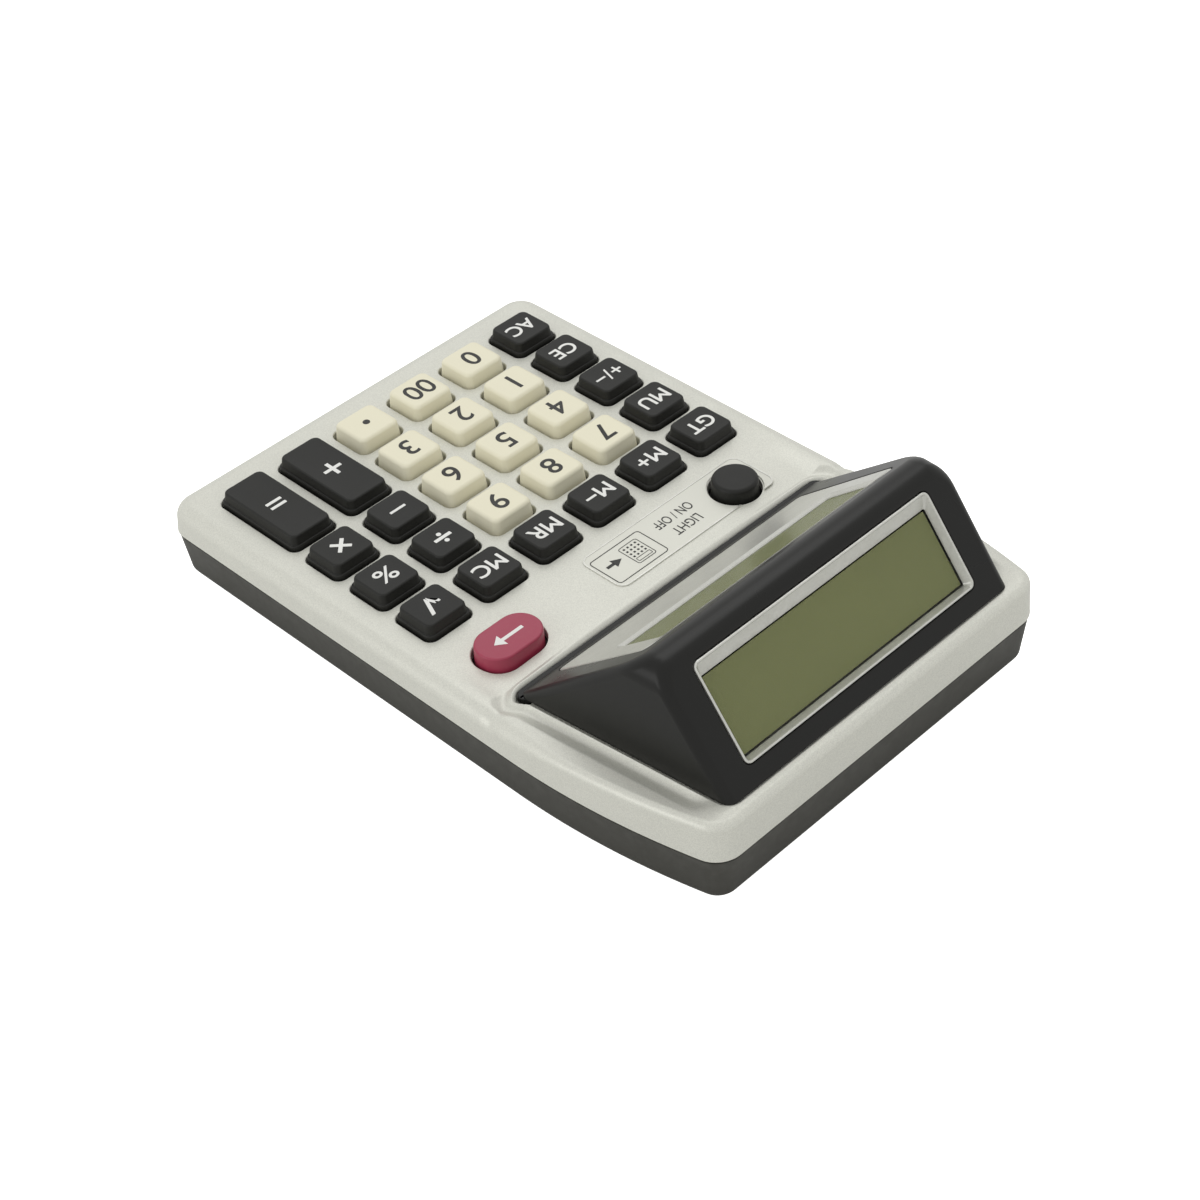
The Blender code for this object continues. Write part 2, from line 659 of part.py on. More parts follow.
for thing in parts_collection.objects:
    if thing.type == "MESH":
        thing.data.shade_smooth()
        thing.data.set_sharp_from_angle(angle=math.radians(40.0))
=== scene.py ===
import bpy
import bmesh
import json
import math
import numpy as np
from mathutils import Matrix, Vector


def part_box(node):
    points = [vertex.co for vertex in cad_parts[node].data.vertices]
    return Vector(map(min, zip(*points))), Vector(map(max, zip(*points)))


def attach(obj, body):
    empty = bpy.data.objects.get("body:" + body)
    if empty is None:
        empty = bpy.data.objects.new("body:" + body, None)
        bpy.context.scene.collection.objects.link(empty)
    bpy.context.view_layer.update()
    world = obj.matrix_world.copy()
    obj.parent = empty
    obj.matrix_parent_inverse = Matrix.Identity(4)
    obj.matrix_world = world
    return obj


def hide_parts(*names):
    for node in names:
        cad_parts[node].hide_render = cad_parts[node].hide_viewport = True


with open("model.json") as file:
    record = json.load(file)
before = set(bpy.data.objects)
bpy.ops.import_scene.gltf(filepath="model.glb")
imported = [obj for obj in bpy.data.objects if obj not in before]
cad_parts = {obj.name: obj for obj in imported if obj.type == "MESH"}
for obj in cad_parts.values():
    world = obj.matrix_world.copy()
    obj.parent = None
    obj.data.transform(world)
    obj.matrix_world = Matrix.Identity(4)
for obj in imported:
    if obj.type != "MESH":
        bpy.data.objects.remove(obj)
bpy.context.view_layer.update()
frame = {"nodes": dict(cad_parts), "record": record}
scene = bpy.context.scene
print("packed model loaded")

# the levels that everything is set out from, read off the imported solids
topLow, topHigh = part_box("top_case")
baseLow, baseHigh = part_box("bottom_case")
headLow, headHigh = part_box("head_housing")
seatGap = 0.0003                       # running gap between neighbouring parts
halfWidth, frontY, rearY = topHigh.x, topLow.y, topHigh.y
partingZ = topLow.z - seatGap
topZ = headLow.z - seatGap
headFrontY, headRearY = headLow.y, headHigh.y
headBaseZ, ridgeZ = headLow.z, headHigh.z


# curves in plan and plain mesh helpers

def filletOutline(corners, radii, steps):
    points = []
    count = len(corners)
    for index in range(count):
        here = Vector(corners[index])
        before = (Vector(corners[index - 1]) - here).normalized()
        after = (Vector(corners[(index + 1) % count]) - here).normalized()
        half = before.angle(after) / 2
        radius = max(radii[index], 0.00001)
        centre = here + (before + after).normalized() * (radius / math.sin(half))
        start = here + before * (radius / math.tan(half)) - centre
        finish = here + after * (radius / math.tan(half)) - centre
        sweep = start.angle(finish)
        for step in range(steps + 1):
            share = step / steps
            turned = start * math.sin((1 - share) * sweep) + finish * math.sin(share * sweep)
            points.append(centre + turned / math.sin(sweep))
    return points


def roundedBox(halfX, lowY, highY, radius, steps=8):
    corners = [(-halfX, lowY), (halfX, lowY), (halfX, highY), (-halfX, highY)]
    return filletOutline(corners, [radius] * 4, steps)


def disc(radius, sides, x=0.0, y=0.0):
    return [Vector((x + radius * math.cos(2 * math.pi * i / sides),
                    y + radius * math.sin(2 * math.pi * i / sides))) for i in range(sides)]


def level(outline, z):
    return [Vector((point.x, point.y, z)) for point in outline]


def moved(outline, x, y):
    return [point + Vector((x, y)) for point in outline]


def loftMesh(name, rings, closedSection=False):
    # skin through rings of equal length; a closed section joins the last ring to the first
    builder = bmesh.new()
    rows = [[builder.verts.new(point) for point in ring] for ring in rings]
    pairs = list(zip(rows, rows[1:]))
    if closedSection:
        pairs.append((rows[-1], rows[0]))
    for low, high in pairs:
        for i in range(len(low)):
            j = (i + 1) % len(low)
            builder.faces.new((low[i], low[j], high[j], high[i]))
    if not closedSection:
        builder.faces.new(list(reversed(rows[0])))
        builder.faces.new(rows[-1])
    bmesh.ops.recalc_face_normals(builder, faces=builder.faces)
    mesh = bpy.data.meshes.new(name)
    builder.to_mesh(mesh)
    builder.free()
    return mesh


def joinMeshes(name, meshes):
    builder = bmesh.new()
    for mesh in meshes:
        builder.from_mesh(mesh)
    joined = bpy.data.meshes.new(name)
    builder.to_mesh(joined)
    builder.free()
    return joined


def looseObject(name, mesh):
    thing = bpy.data.objects.new(name, mesh)
    scene.collection.objects.link(thing)
    return thing


def evaluatedMesh(thing, name):
    bpy.context.view_layer.update()
    graph = bpy.context.evaluated_depsgraph_get()
    mesh = bpy.data.meshes.new_from_object(thing.evaluated_get(graph), depsgraph=graph)
    mesh.name = name
    return mesh


def combine(mesh, tools):
    # runs the mesh through boolean steps given as (operation, tool mesh) and returns the result
    target = looseObject("work", mesh)
    helpers = []
    for operation, toolMesh in tools:
        helper = looseObject("tool", toolMesh)
        helpers.append(helper)
        step = target.modifiers.new(operation.lower(), "BOOLEAN")
        step.operation = operation
        step.solver = "EXACT"
        step.object = helper
    result = evaluatedMesh(target, mesh.name)
    for helper in [target] + helpers:
        bpy.data.objects.remove(helper, do_unlink=True)
    return result


def wearAttribute(mesh, softEdge=300.0, sharpEdge=2600.0):
    # how strongly each vertex bulges, kept on the mesh for the rubbed-edge effect
    count = len(mesh.vertices)
    place = np.zeros(count * 3)
    mesh.vertices.foreach_get("co", place)
    place = place.reshape(-1, 3)
    normal = np.array([v.normal for v in mesh.vertices]).reshape(-1, 3)
    ends = np.zeros(len(mesh.edges) * 2, int)
    mesh.edges.foreach_get("vertices", ends)
    ends = ends.reshape(-1, 2)
    span = place[ends[:, 1]] - place[ends[:, 0]]
    length = np.maximum((span ** 2).sum(1), 0.0002 ** 2)
    bulge = ((normal[ends[:, 1]] - normal[ends[:, 0]]) * span).sum(1) / length
    most = np.zeros(count)
    np.maximum.at(most, ends[:, 0], bulge)
    np.maximum.at(most, ends[:, 1], bulge)
    share = np.clip((most - softEdge) / (sharpEdge - softEdge), 0, 1)
    attribute = mesh.attributes.new("wear", "FLOAT", "POINT")
    attribute.data.foreach_set("value", share.astype(np.float32))


def makePiece(name, mesh, material, body, standsFor=(), smoothAngle=32.0):
    for old in list(mesh.attributes):
        if old.name in ("sharp_face", "bevel_weight_edge"):
            mesh.attributes.remove(old)
    mesh.materials.clear()
    for one in (material if isinstance(material, (list, tuple)) else [material]):
        mesh.materials.append(one)
    mesh.shade_smooth()
    mesh.set_sharp_from_angle(angle=math.radians(smoothAngle))
    wearAttribute(mesh)
    piece = looseObject(name, mesh)
    weighted = piece.modifiers.new("evenShading", "WEIGHTED_NORMAL")
    weighted.keep_sharp = True
    weighted.weight = 80
    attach(piece, body)
    if standsFor:
        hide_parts(*standsFor)
    return piece


# node helpers

def wire(tree, kind, inputs=None, **settings):
    node = tree.nodes.new(kind)
    for name, value in settings.items():
        setattr(node, name, value)
    for key, value in (inputs or {}).items():
        if isinstance(value, bpy.types.NodeSocket):
            tree.links.new(value, node.inputs[key])
        else:
            node.inputs[key].default_value = value
    return node


def shaderGroup(name, inputs, outputs):
    tree = bpy.data.node_groups.new(name, "ShaderNodeTree")
    for socketName, kind, value in inputs:
        tree.interface.new_socket(name=socketName, in_out="INPUT", socket_type=kind).default_value = value
    for socketName, kind in outputs:
        tree.interface.new_socket(name=socketName, in_out="OUTPUT", socket_type=kind)
    return tree, wire(tree, "NodeGroupInput").outputs, wire(tree, "NodeGroupOutput").inputs


def math2(tree, operation, first, second, clamp=False):
    node = wire(tree, "ShaderNodeMath", {0: first, 1: second}, operation=operation, use_clamp=clamp)
    return node.outputs[0]


# moulded grain: fine pitting for bump, and a slower drift for gloss
grain, grainIn, grainOut = shaderGroup(
    "mouldedGrain",
    [("Grain Scale", "NodeSocketFloat", 2600.0), ("Drift Scale", "NodeSocketFloat", 60.0)],
    [("Height", "NodeSocketFloat"), ("Drift", "NodeSocketFloat")])
where = wire(grain, "ShaderNodeTexCoord").outputs["Object"]
pits = wire(grain, "ShaderNodeTexNoise", {"Vector": where, "Scale": grainIn["Grain Scale"], "Detail": 3.0,
                                          "Roughness": 0.6})
cells = wire(grain, "ShaderNodeTexVoronoi", {"Vector": where, "Scale": grainIn["Grain Scale"]},
             feature="SMOOTH_F1")
drift = wire(grain, "ShaderNodeTexNoise", {"Vector": where, "Scale": grainIn["Drift Scale"], "Detail": 5.0})
grain.links.new(math2(grain, "ADD", pits.outputs["Fac"], cells.outputs["Distance"]), grainOut["Height"])
grain.links.new(drift.outputs["Fac"], grainOut["Drift"])

# rubbed edges: the bulge of the surface, broken up so that it isn't an even line
rub, rubIn, rubOut = shaderGroup(
    "rubbedEdge", [("Amount", "NodeSocketFloat", 0.5), ("Break Scale", "NodeSocketFloat", 350.0)],
    [("Mask", "NodeSocketFloat")])
bulge = wire(rub, "ShaderNodeAttribute", attribute_name="wear").outputs["Fac"]
patch = wire(rub, "ShaderNodeTexNoise", {"Vector": wire(rub, "ShaderNodeTexCoord").outputs["Object"],
                                         "Scale": rubIn["Break Scale"], "Detail": 4.0}).outputs["Fac"]
patch = wire(rub, "ShaderNodeMapRange", {"Value": patch, "From Min": 0.38, "From Max": 0.66}).outputs[0]
rub.links.new(math2(rub, "MULTIPLY", math2(rub, "MULTIPLY", bulge, patch), rubIn["Amount"], True),
              rubOut["Mask"])

# dust that settles on what faces up
dust, dustIn, dustOut = shaderGroup(
    "settledDust", [("Amount", "NodeSocketFloat", 0.1), ("Fleck Scale", "NodeSocketFloat", 900.0)],
    [("Mask", "NodeSocketFloat")])
dustWhere = wire(dust, "ShaderNodeTexCoord")
upward = wire(dust, "ShaderNodeSeparateXYZ", {0: dustWhere.outputs["Normal"]}).outputs["Z"]
upward = wire(dust, "ShaderNodeMapRange", {"Value": upward, "From Min": 0.3, "From Max": 1.0}).outputs[0]
flecks = wire(dust, "ShaderNodeTexNoise", {"Vector": dustWhere.outputs["Object"],
                                           "Scale": dustIn["Fleck Scale"], "Detail": 6.0,
                                           "Roughness": 0.7}).outputs["Fac"]
flecks = wire(dust, "ShaderNodeMapRange", {"Value": flecks, "From Min": 0.50, "From Max": 0.80}).outputs[0]
dust.links.new(math2(dust, "MULTIPLY", math2(dust, "MULTIPLY", upward, flecks), dustIn["Amount"], True),
               dustOut["Mask"])

# metal flake in the silver paint
flake, flakeIn, flakeOut = shaderGroup(
    "metalFlake", [("Flake Scale", "NodeSocketFloat", 4200.0)],
    [("Sparkle", "NodeSocketFloat"), ("Height", "NodeSocketFloat")])
flakeWhere = wire(flake, "ShaderNodeTexCoord").outputs["Object"]
chips = wire(flake, "ShaderNodeTexVoronoi", {"Vector": flakeWhere, "Scale": flakeIn["Flake Scale"]})
tone = wire(flake, "ShaderNodeSeparateColor", {0: chips.outputs["Color"]})
flake.links.new(tone.outputs[0], flakeOut["Sparkle"])
flake.links.new(tone.outputs[1], flakeOut["Height"])
print("shader groups ready")


def plastic(name, look):
    # one moulded or painted finish; look gives its colours and how far each effect goes
    material = bpy.data.materials.new(name)
    material.use_nodes = True
    tree = material.node_tree
    shader = tree.nodes["Principled BSDF"]
    for socket, value in look.get("constants", {}).items():
        shader.inputs[socket].default_value = value
    grainNode = wire(tree, "ShaderNodeGroup", {}, node_tree=grain)
    grainNode.inputs["Grain Scale"].default_value = look.get("grainScale", 2600.0)
    grainNode.inputs["Drift Scale"].default_value = look.get("driftScale", 60.0)
    base, deep = look["colour"], look.get("deepColour", [c * 0.9 for c in look["colour"]])
    colour = wire(tree, "ShaderNodeMix", {"Factor": grainNode.outputs["Drift"], "A": (*deep, 1.0),
                                          "B": (*base, 1.0)}, data_type="RGBA")
    colour = colour.outputs[2]
    heightOut = grainNode.outputs["Height"]
    if "flake" in look:
        flakeNode = wire(tree, "ShaderNodeGroup", {}, node_tree=flake)
        flakeNode.inputs["Flake Scale"].default_value = look["flake"]
        shine = wire(tree, "ShaderNodeMapRange", {"Value": flakeNode.outputs["Sparkle"], "To Min": 0.90,
                                                  "To Max": 1.08}).outputs[0]
        colour = wire(tree, "ShaderNodeVectorMath", {0: colour, 1: shine}, operation="MULTIPLY").outputs[0]
        heightOut = math2(tree, "ADD", heightOut, flakeNode.outputs["Height"])
    rubNode = wire(tree, "ShaderNodeGroup", {}, node_tree=rub)
    rubNode.inputs["Amount"].default_value = look.get("rub", 0.4)
    colour = mixColour(tree, rubNode.outputs["Mask"], colour, look.get("rubColour", [c * 1.5 for c in base]))
    dustNode = wire(tree, "ShaderNodeGroup", {}, node_tree=dust)
    dustNode.inputs["Amount"].default_value = look.get("dust", 0.08)
    colour = mixColour(tree, dustNode.outputs["Mask"], colour, (0.62, 0.60, 0.55))
    tree.links.new(colour, shader.inputs["Base Color"])
    low, high = look.get("roughness", (0.38, 0.5))
    rough = wire(tree, "ShaderNodeMapRange", {"Value": grainNode.outputs["Drift"], "From Min": 0.3,
                                              "From Max": 0.7, "To Min": low, "To Max": high}).outputs[0]
    rough = math2(tree, "ADD", rough, math2(tree, "MULTIPLY", dustNode.outputs["Mask"], 0.5), True)
    tree.links.new(rough, shader.inputs["Roughness"])
    bump = wire(tree, "ShaderNodeBump", {"Height": heightOut, "Strength": look.get("bump", 0.12),
                                         "Distance": look.get("bumpDepth", 0.00005)})
    tree.links.new(bump.outputs["Normal"], shader.inputs["Normal"])
    return material


def mixColour(tree, factor, first, second):
    mixer = wire(tree, "ShaderNodeMix", data_type="RGBA")
    tree.links.new(factor, mixer.inputs[0])
    tree.links.new(first, mixer.inputs[6])
    mixer.inputs[7].default_value = (*second, 1.0)
    return mixer.outputs[2]


finishes = {
    "silverPaint": {"colour": (0.655, 0.655, 0.590), "deepColour": (0.640, 0.640, 0.577), "flake": 5200.0,
                    "roughness": (0.38, 0.44), "bump": 0.08, "rub": 0.2, "rubColour": (0.74, 0.74, 0.70),
                    "dust": 0.02,
                    "constants": {"Metallic": 0.25, "Coat Weight": 0.10, "Coat Roughness": 0.3}},
    "silverPlate": {"colour": (0.60, 0.60, 0.555), "deepColour": (0.57, 0.57, 0.525), "flake": 6500.0,
                    "roughness": (0.28, 0.34), "bump": 0.05, "rub": 0.3, "rubColour": (0.80, 0.80, 0.77),
                    "dust": 0.01, "constants": {"Metallic": 0.60}},
    "darkBase": {"colour": (0.038, 0.037, 0.030), "deepColour": (0.035, 0.034, 0.027), "grainScale": 1900.0,
                 "roughness": (0.50, 0.58), "bump": 0.25, "rub": 0.3, "rubColour": (0.09, 0.088, 0.078),
                 "dust": 0.02},
    "glossBlack": {"colour": (0.010, 0.010, 0.009), "deepColour": (0.009, 0.009, 0.008),
                   "grainScale": 1200.0, "driftScale": 35.0, "roughness": (0.26, 0.32), "bump": 0.02,
                   "rub": 0.1, "rubColour": (0.03, 0.03, 0.028), "dust": 0.0,
                   "constants": {"Specular IOR Level": 0.25}},
    "blackKey": {"colour": (0.013, 0.013, 0.011), "deepColour": (0.011, 0.011, 0.0095), "grainScale": 3200.0,
                 "roughness": (0.44, 0.50), "bump": 0.12, "rub": 0.2, "rubColour": (0.035, 0.035, 0.032),
                 "dust": 0.0, "constants": {"Specular IOR Level": 0.30}},
    "creamKey": {"colour": (0.795, 0.760, 0.590), "deepColour": (0.780, 0.745, 0.578), "grainScale": 3200.0,
                 "roughness": (0.42, 0.50), "bump": 0.08, "rub": 0.15, "rubColour": (0.76, 0.71, 0.59),
                 "dust": 0.02, "constants": {"Specular IOR Level": 0.4}},
    "redKey": {"colour": (0.345, 0.036, 0.076), "deepColour": (0.330, 0.033, 0.071), "grainScale": 3200.0,
               "roughness": (0.38, 0.46), "bump": 0.08, "rub": 0.2, "rubColour": (0.46, 0.10, 0.15),
               "dust": 0.02},
    "whiteInk": {"colour": (0.82, 0.82, 0.79), "grainScale": 5200.0, "roughness": (0.45, 0.6), "bump": 0.10,
                 "rub": 0.0, "dust": 0.02},
    "blackInk": {"colour": (0.018, 0.018, 0.016), "grainScale": 5200.0, "roughness": (0.45, 0.6),
                 "bump": 0.10, "rub": 0.0, "dust": 0.02},
    "rubber": {"colour": (0.020, 0.020, 0.020), "grainScale": 1500.0, "roughness": (0.75, 0.92),
               "bump": 0.45, "rub": 0.4, "rubColour": (0.08, 0.08, 0.08)},
    "membrane": {"colour": (0.30, 0.30, 0.29), "grainScale": 1300.0, "roughness": (0.70, 0.85), "bump": 0.2},
    "board": {"colour": (0.03, 0.13, 0.05), "deepColour": (0.02, 0.10, 0.04), "driftScale": 300.0,
              "roughness": (0.35, 0.5), "bump": 0.08},
    "steel": {"colour": (0.55, 0.55, 0.54), "deepColour": (0.48, 0.48, 0.47), "grainScale": 4200.0,
              "roughness": (0.22, 0.36), "bump": 0.08, "rub": 0.4, "rubColour": (0.75, 0.75, 0.74),
              "constants": {"Metallic": 1.0}},
    "sleeve": {"colour": (0.035, 0.036, 0.042), "driftScale": 120.0, "roughness": (0.22, 0.34),
               "bump": 0.05},
    "glassGreen": {"colour": (0.205, 0.222, 0.090), "deepColour": (0.198, 0.215, 0.087),
                   "grainScale": 5200.0, "driftScale": 40.0, "roughness": (0.30, 0.34), "bump": 0.01,
                   "rub": 0.0, "dust": 0.0, "constants": {"Specular IOR Level": 0.2}},
    "violetLamp": {"colour": (0.30, 0.22, 0.52), "roughness": (0.08, 0.16), "bump": 0.03},
    "labelFilm": {"colour": (0.655, 0.655, 0.590), "deepColour": (0.645, 0.645, 0.581),
                  "roughness": (0.36, 0.42), "bump": 0.02, "rub": 0.0, "dust": 0.0,
                  "constants": {"Metallic": 0.25}},
}
paint = {name: plastic(name, look) for name, look in finishes.items()}


def clearWindow():
    material = plastic("clearWindow", {"colour": (0.12, 0.12, 0.11), "grainScale": 5000.0, "driftScale": 25.0,
                                       "roughness": (0.05, 0.08), "bump": 0.0, "rub": 0.0, "dust": 0.0,
                                       "constants": {"Specular IOR Level": 0.06}})
    tree = material.node_tree
    shader = tree.nodes["Principled BSDF"]
    smear = wire(tree, "ShaderNodeTexNoise", {"Vector": wire(tree, "ShaderNodeTexCoord").outputs["Object"],
                                              "Scale": 45.0, "Detail": 6.0}).outputs["Fac"]
    cover = wire(tree, "ShaderNodeMapRange", {"Value": smear, "From Min": 0.3, "From Max": 0.8,
                                              "To Min": 0.06, "To Max": 0.075}).outputs[0]
    tree.links.new(cover, shader.inputs["Alpha"])
    material.surface_render_method = "BLENDED"
    return material


paint["clearWindow"] = clearWindow()
print("materials ready:", len(paint))

# upper shell

casePlan = {
    "corner": 0.0080,          # plan corners
    "sideArc": 0.2400,         # long arc drawing the sides in towards the rear
    "arcLead": 0.0080,         # where that arc starts behind the head's front edge
    "cornerSteps": 14,
    "arcSteps": 52,
}
arcStartY = headFrontY + casePlan["arcLead"]


def caseSide(inset, straightRows=(), cornerSteps=casePlan["cornerSteps"], arcSteps=casePlan["arcSteps"]):
    # right side of the case in plan from the front edge round to the rear edge: point and outward normal
    corner, arc = casePlan["corner"], casePlan["sideArc"]
    arcX = halfWidth - arc
    rearCentreY = rearY - corner
    reach = math.sqrt((arc - corner) ** 2 - (rearCentreY - arcStartY) ** 2)
    turn = math.atan2(rearCentreY - arcStartY, reach)
    samples = []

    def sweep(centreX, centreY, radius, first, last, steps, skip=0):
        for step in range(skip, steps + 1):
            angle = first + (last - first) * step / steps
            outward = Vector((math.cos(angle), math.sin(angle)))
            samples.append((Vector((centreX, centreY)) + outward * (radius - inset), outward))

    sweep(halfWidth - corner, frontY + corner, corner, -math.pi / 2, 0.0, cornerSteps)
    for y in straightRows:
        samples.append((Vector((halfWidth - inset, y)), Vector((1.0, 0.0))))
    sweep(arcX, arcStartY, arc, 0.0, turn, arcSteps)
    sweep(arcX + reach, rearCentreY, corner, turn, math.pi / 2, cornerSteps, 1)
    return samples


def caseOutline(inset, cornerSteps=12, arcSteps=26):
    right = [point for point, outward in caseSide(inset, (), cornerSteps, arcSteps)]
    return right + [Vector((-point.x, point.y)) for point in reversed(right)]


headPlan = {
    "frontHalf": headHigh.x,      # half width along the front foot
    "rearHalf": 0.0532,           # half width along the rear foot
    "sideLean": 0.0012,           # how far the sides lean in over the full height
    "ridgeWidth": 0.0062,
    "rearRun": 0.0250,            # plan length of the rear face
    "wall": 0.0030,
    "ridgeEndRound": 0.0062, "rearEdgeRound": 0.0026, "frontEdgeRound": 0.0026,
}
headHeight = ridgeZ - headBaseZ
ridgeRearY = headRearY - headPlan["rearRun"]
ridgeFrontY = ridgeRearY - headPlan["ridgeWidth"]
frontSlope = math.atan2(headHeight, ridgeFrontY - headFrontY)
rearSlope = math.atan2(headHeight, headPlan["rearRun"])

upperShell = {
    "edgeRound": 0.0046,       # rounding of the top edge
    "rearRound": 0.0022,       # the same edge beside and behind the head
    "edgeFade": 0.0300,        # the first turns into the second over this length
    "edgeSteps": 14,
    "draft": 0.0005,           # the wall leans out this much down to the parting line
    "wall": 0.0020,
    "rise": 0.0032,            # the top climbs this much from the head's front to its rear
    "slotRound": 0.0022,       # rolled edge in front of the head
    "slotDepth": 0.0026, "slotGap": 0.0021,    # dark slot between that edge and the head
    "slotFade": (-0.0004, 0.0050),             # it closes along the head's sides between these
    "lip": 0.0005, "seam": 0.0002,             # rolled edge and open seam beside the head
    "footCorner": 0.0040,      # plan corner that the slot and the trough follow
    "troughWidth": 0.0056, "troughDepth": 0.0013,
    "troughStart": (-0.0300, 0.0020),          # across, from the head's front corner
    "troughEnd": (0.0100, 0.0040),             # along, before the head's rear edge
    "bandColumns": 34, "middleColumns": 60, "bandSpread": 1.35,
}


def smooth(value, low, high):
    share = min(max((value - low) / (high - low), 0.0), 1.0)
    return share * share * (3 - 2 * share)


seatRearY = headRearY - upperShell["rise"] / math.tan(rearSlope)
seatRearHalf = headPlan["rearHalf"] - headPlan["sideLean"] * upperShell["rise"] / headHeight


def headSide(y):
    share = min(max((y - headFrontY) / (seatRearY - headFrontY), 0.0), 1.0)
    return headPlan["frontHalf"] + (seatRearHalf - headPlan["frontHalf"]) * share


def awayFromHead(x, y):
    # distance in plan outside the head's foot, negative under it
    corner = upperShell["footCorner"]
    across = abs(x) - headSide(y) + corner
    along = max(headFrontY - y, y - seatRearY) + corner
    return math.hypot(max(across, 0), max(along, 0)) + min(max(across, along), 0) - corner


def shellHeight(x, y):
    away = awayFromHead(x, y)
    share = (y - headFrontY) / (seatRearY - headFrontY)
    z = topZ + upperShell["rise"] * min(max(share, 0.0), 1.0)
    beside = smooth(y - headFrontY, *upperShell["slotFade"])
    radius = upperShell["slotRound"] + (upperShell["lip"] - upperShell["slotRound"]) * beside
    gap = upperShell["slotGap"] + (upperShell["seam"] - upperShell["slotGap"]) * beside
    if away < radius + gap:
        share = min((radius + gap - away) / radius, 1.0)
        z -= radius * (1 - math.sqrt(max(1 - share * share, 0.0)))
    if away < gap:
        z -= upperShell["slotDepth"] * (1 - beside)
    endEarly, endLate = upperShell["troughEnd"]
    window = smooth(abs(x) - headPlan["frontHalf"], *upperShell["troughStart"])
    window *= 1 - smooth(y - seatRearY, -endEarly, -endLate)
    near = upperShell["slotGap"] + upperShell["slotRound"] * 0.6
    near += (upperShell["seam"] + upperShell["lip"] - near) * beside
    bed = min(max((away - near) / upperShell["troughWidth"], 0.0), 1.0)
    return z - window * upperShell["troughDepth"] * math.sin(math.pi * bed ** 0.7) ** 1.5


def edgeRadius(y):
    share = smooth(y - headFrontY, 0.0, upperShell["edgeFade"])
    return upperShell["edgeRound"] + (upperShell["rearRound"] - upperShell["edgeRound"]) * share


def upperShellMesh():
    wall, draft = upperShell["wall"], upperShell["draft"]
    # rows along the case: wide ones under the keys, fine ones at the slot, then wider again
    rows = [frontY + casePlan["corner"] + step * 0.0052 for step in range(1, 22)]
    rows += [headFrontY - 0.0046 + step * 0.00022 for step in range(24)]
    rows += [headFrontY + 0.0008 + step * 0.0009 for step in range(8)]
    side = [(point - outward * (edgeRadius(point.y) + draft), outward, edgeRadius(point.y))
            for point, outward in caseSide(0.0, [y for y in sorted(rows) if y < arcStartY - 0.0002])]
    bands, middles = upperShell["bandColumns"], upperShell["middleColumns"]
    builder = bmesh.new()
    grid = []
    for point, outward, radius in side:
        inner = min(headSide(point.y), point.x - 0.0016)
        edge = inner + upperShell["seam"] * 1.5
        right = [inner, inner + upperShell["seam"] * 0.6]
        right += [edge + (point.x - edge) * (step / bands) ** upperShell["bandSpread"]
                  for step in range(bands + 1)]
        middle = [inner * math.sin(math.pi / 2 * (2 * step / middles - 1)) for step in range(1, middles)]
        across = [-x for x in reversed(right)] + middle + right
        grid.append([builder.verts.new((x, point.y, shellHeight(x, point.y))) for x in across])
    for low, high in zip(grid, grid[1:]):
        for i in range(len(low) - 1):
            builder.faces.new((low[i], low[i + 1], high[i + 1], high[i]))
    sides = list(zip(grid, side))[1:-1]
    rim = [(vertex, Vector((0.0, -1.0)), side[0][2]) for vertex in grid[0]]
    rim += [(row[-1], outward, radius) for row, (point, outward, radius) in sides]
    rim += [(vertex, Vector((0.0, 1.0)), side[-1][2]) for vertex in reversed(grid[-1])]
    rim += [(row[0], Vector((-outward.x, outward.y)), radius) for row, (point, outward, radius) in
            reversed(sides)]
    footZ = partingZ + seatGap

    def ring(place):
        # place(z, radius) gives how far out of the rim and how high the next ring lies
        made = []
        for vertex, outward, radius in rim:
            out, z = place(vertex.co.z, radius)
            made.append(builder.verts.new((vertex.co.x + outward.x * out, vertex.co.y + outward.y * out, z)))
        return made

    rings = [[vertex for vertex, outward, radius in rim]]
    for step in range(1, upperShell["edgeSteps"] + 1):
        angle = math.pi / 2 * step / upperShell["edgeSteps"]
        rings.append(ring(lambda z, radius: (radius * math.sin(angle), z - radius * (1 - math.cos(angle)))))
    # down the draughted wall, round its foot and back up inside
    for past, down in ((draft * 0.9, footZ + 0.0006), (draft, footZ + 0.0003), (draft - 0.0003, footZ),
                       (draft - wall, footZ), (-wall, topZ - upperShell["edgeRound"])):
        rings.append(ring(lambda z, radius: (radius + past, down)))
    rings.append(ring(lambda z, radius: (-0.0012, topZ - wall - 0.0008)))
    for low, high in zip(rings, rings[1:]):
        for i in range(len(low)):
            j = (i + 1) % len(low)
            builder.faces.new((low[i], high[i], high[j], low[j]))
    builder.faces.new(list(reversed(rings[-1])))
    bmesh.ops.recalc_face_normals(builder, faces=builder.faces)
    mesh = bpy.data.meshes.new("upper_shell")
    builder.to_mesh(mesh)
    builder.free()
    return mesh


# keys

keyShape = {
    "flangeLip": 0.0007,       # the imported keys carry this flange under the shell
    "corner": 0.0022, "cornerShrink": 0.35,
    "rimRound": 0.0004,        # rolled edge of each hole
    "inkThickness": 0.00004,
    "dishReach": 0.0034,       # the dish deepens over this length in from the rounded edge
}
keyLooks = {
    "cream": {"flare": 0.0006, "round": 0.0012, "dish": 0.00012, "clearance": 0.00055},
    "dark": {"flare": 0.0003, "round": 0.0006, "dish": 0.00012, "clearance": 0.00055,
             "skirtHeight": 0.0012, "skirtStep": 0.00050},
    "oval": {"flare": 0.0002, "round": 0.0006, "dish": 0.00010, "clearance": 0.00075},
    "button": {"flare": 0.0003, "round": 0.0013, "dish": -0.00020, "clearance": 0.00075},
}
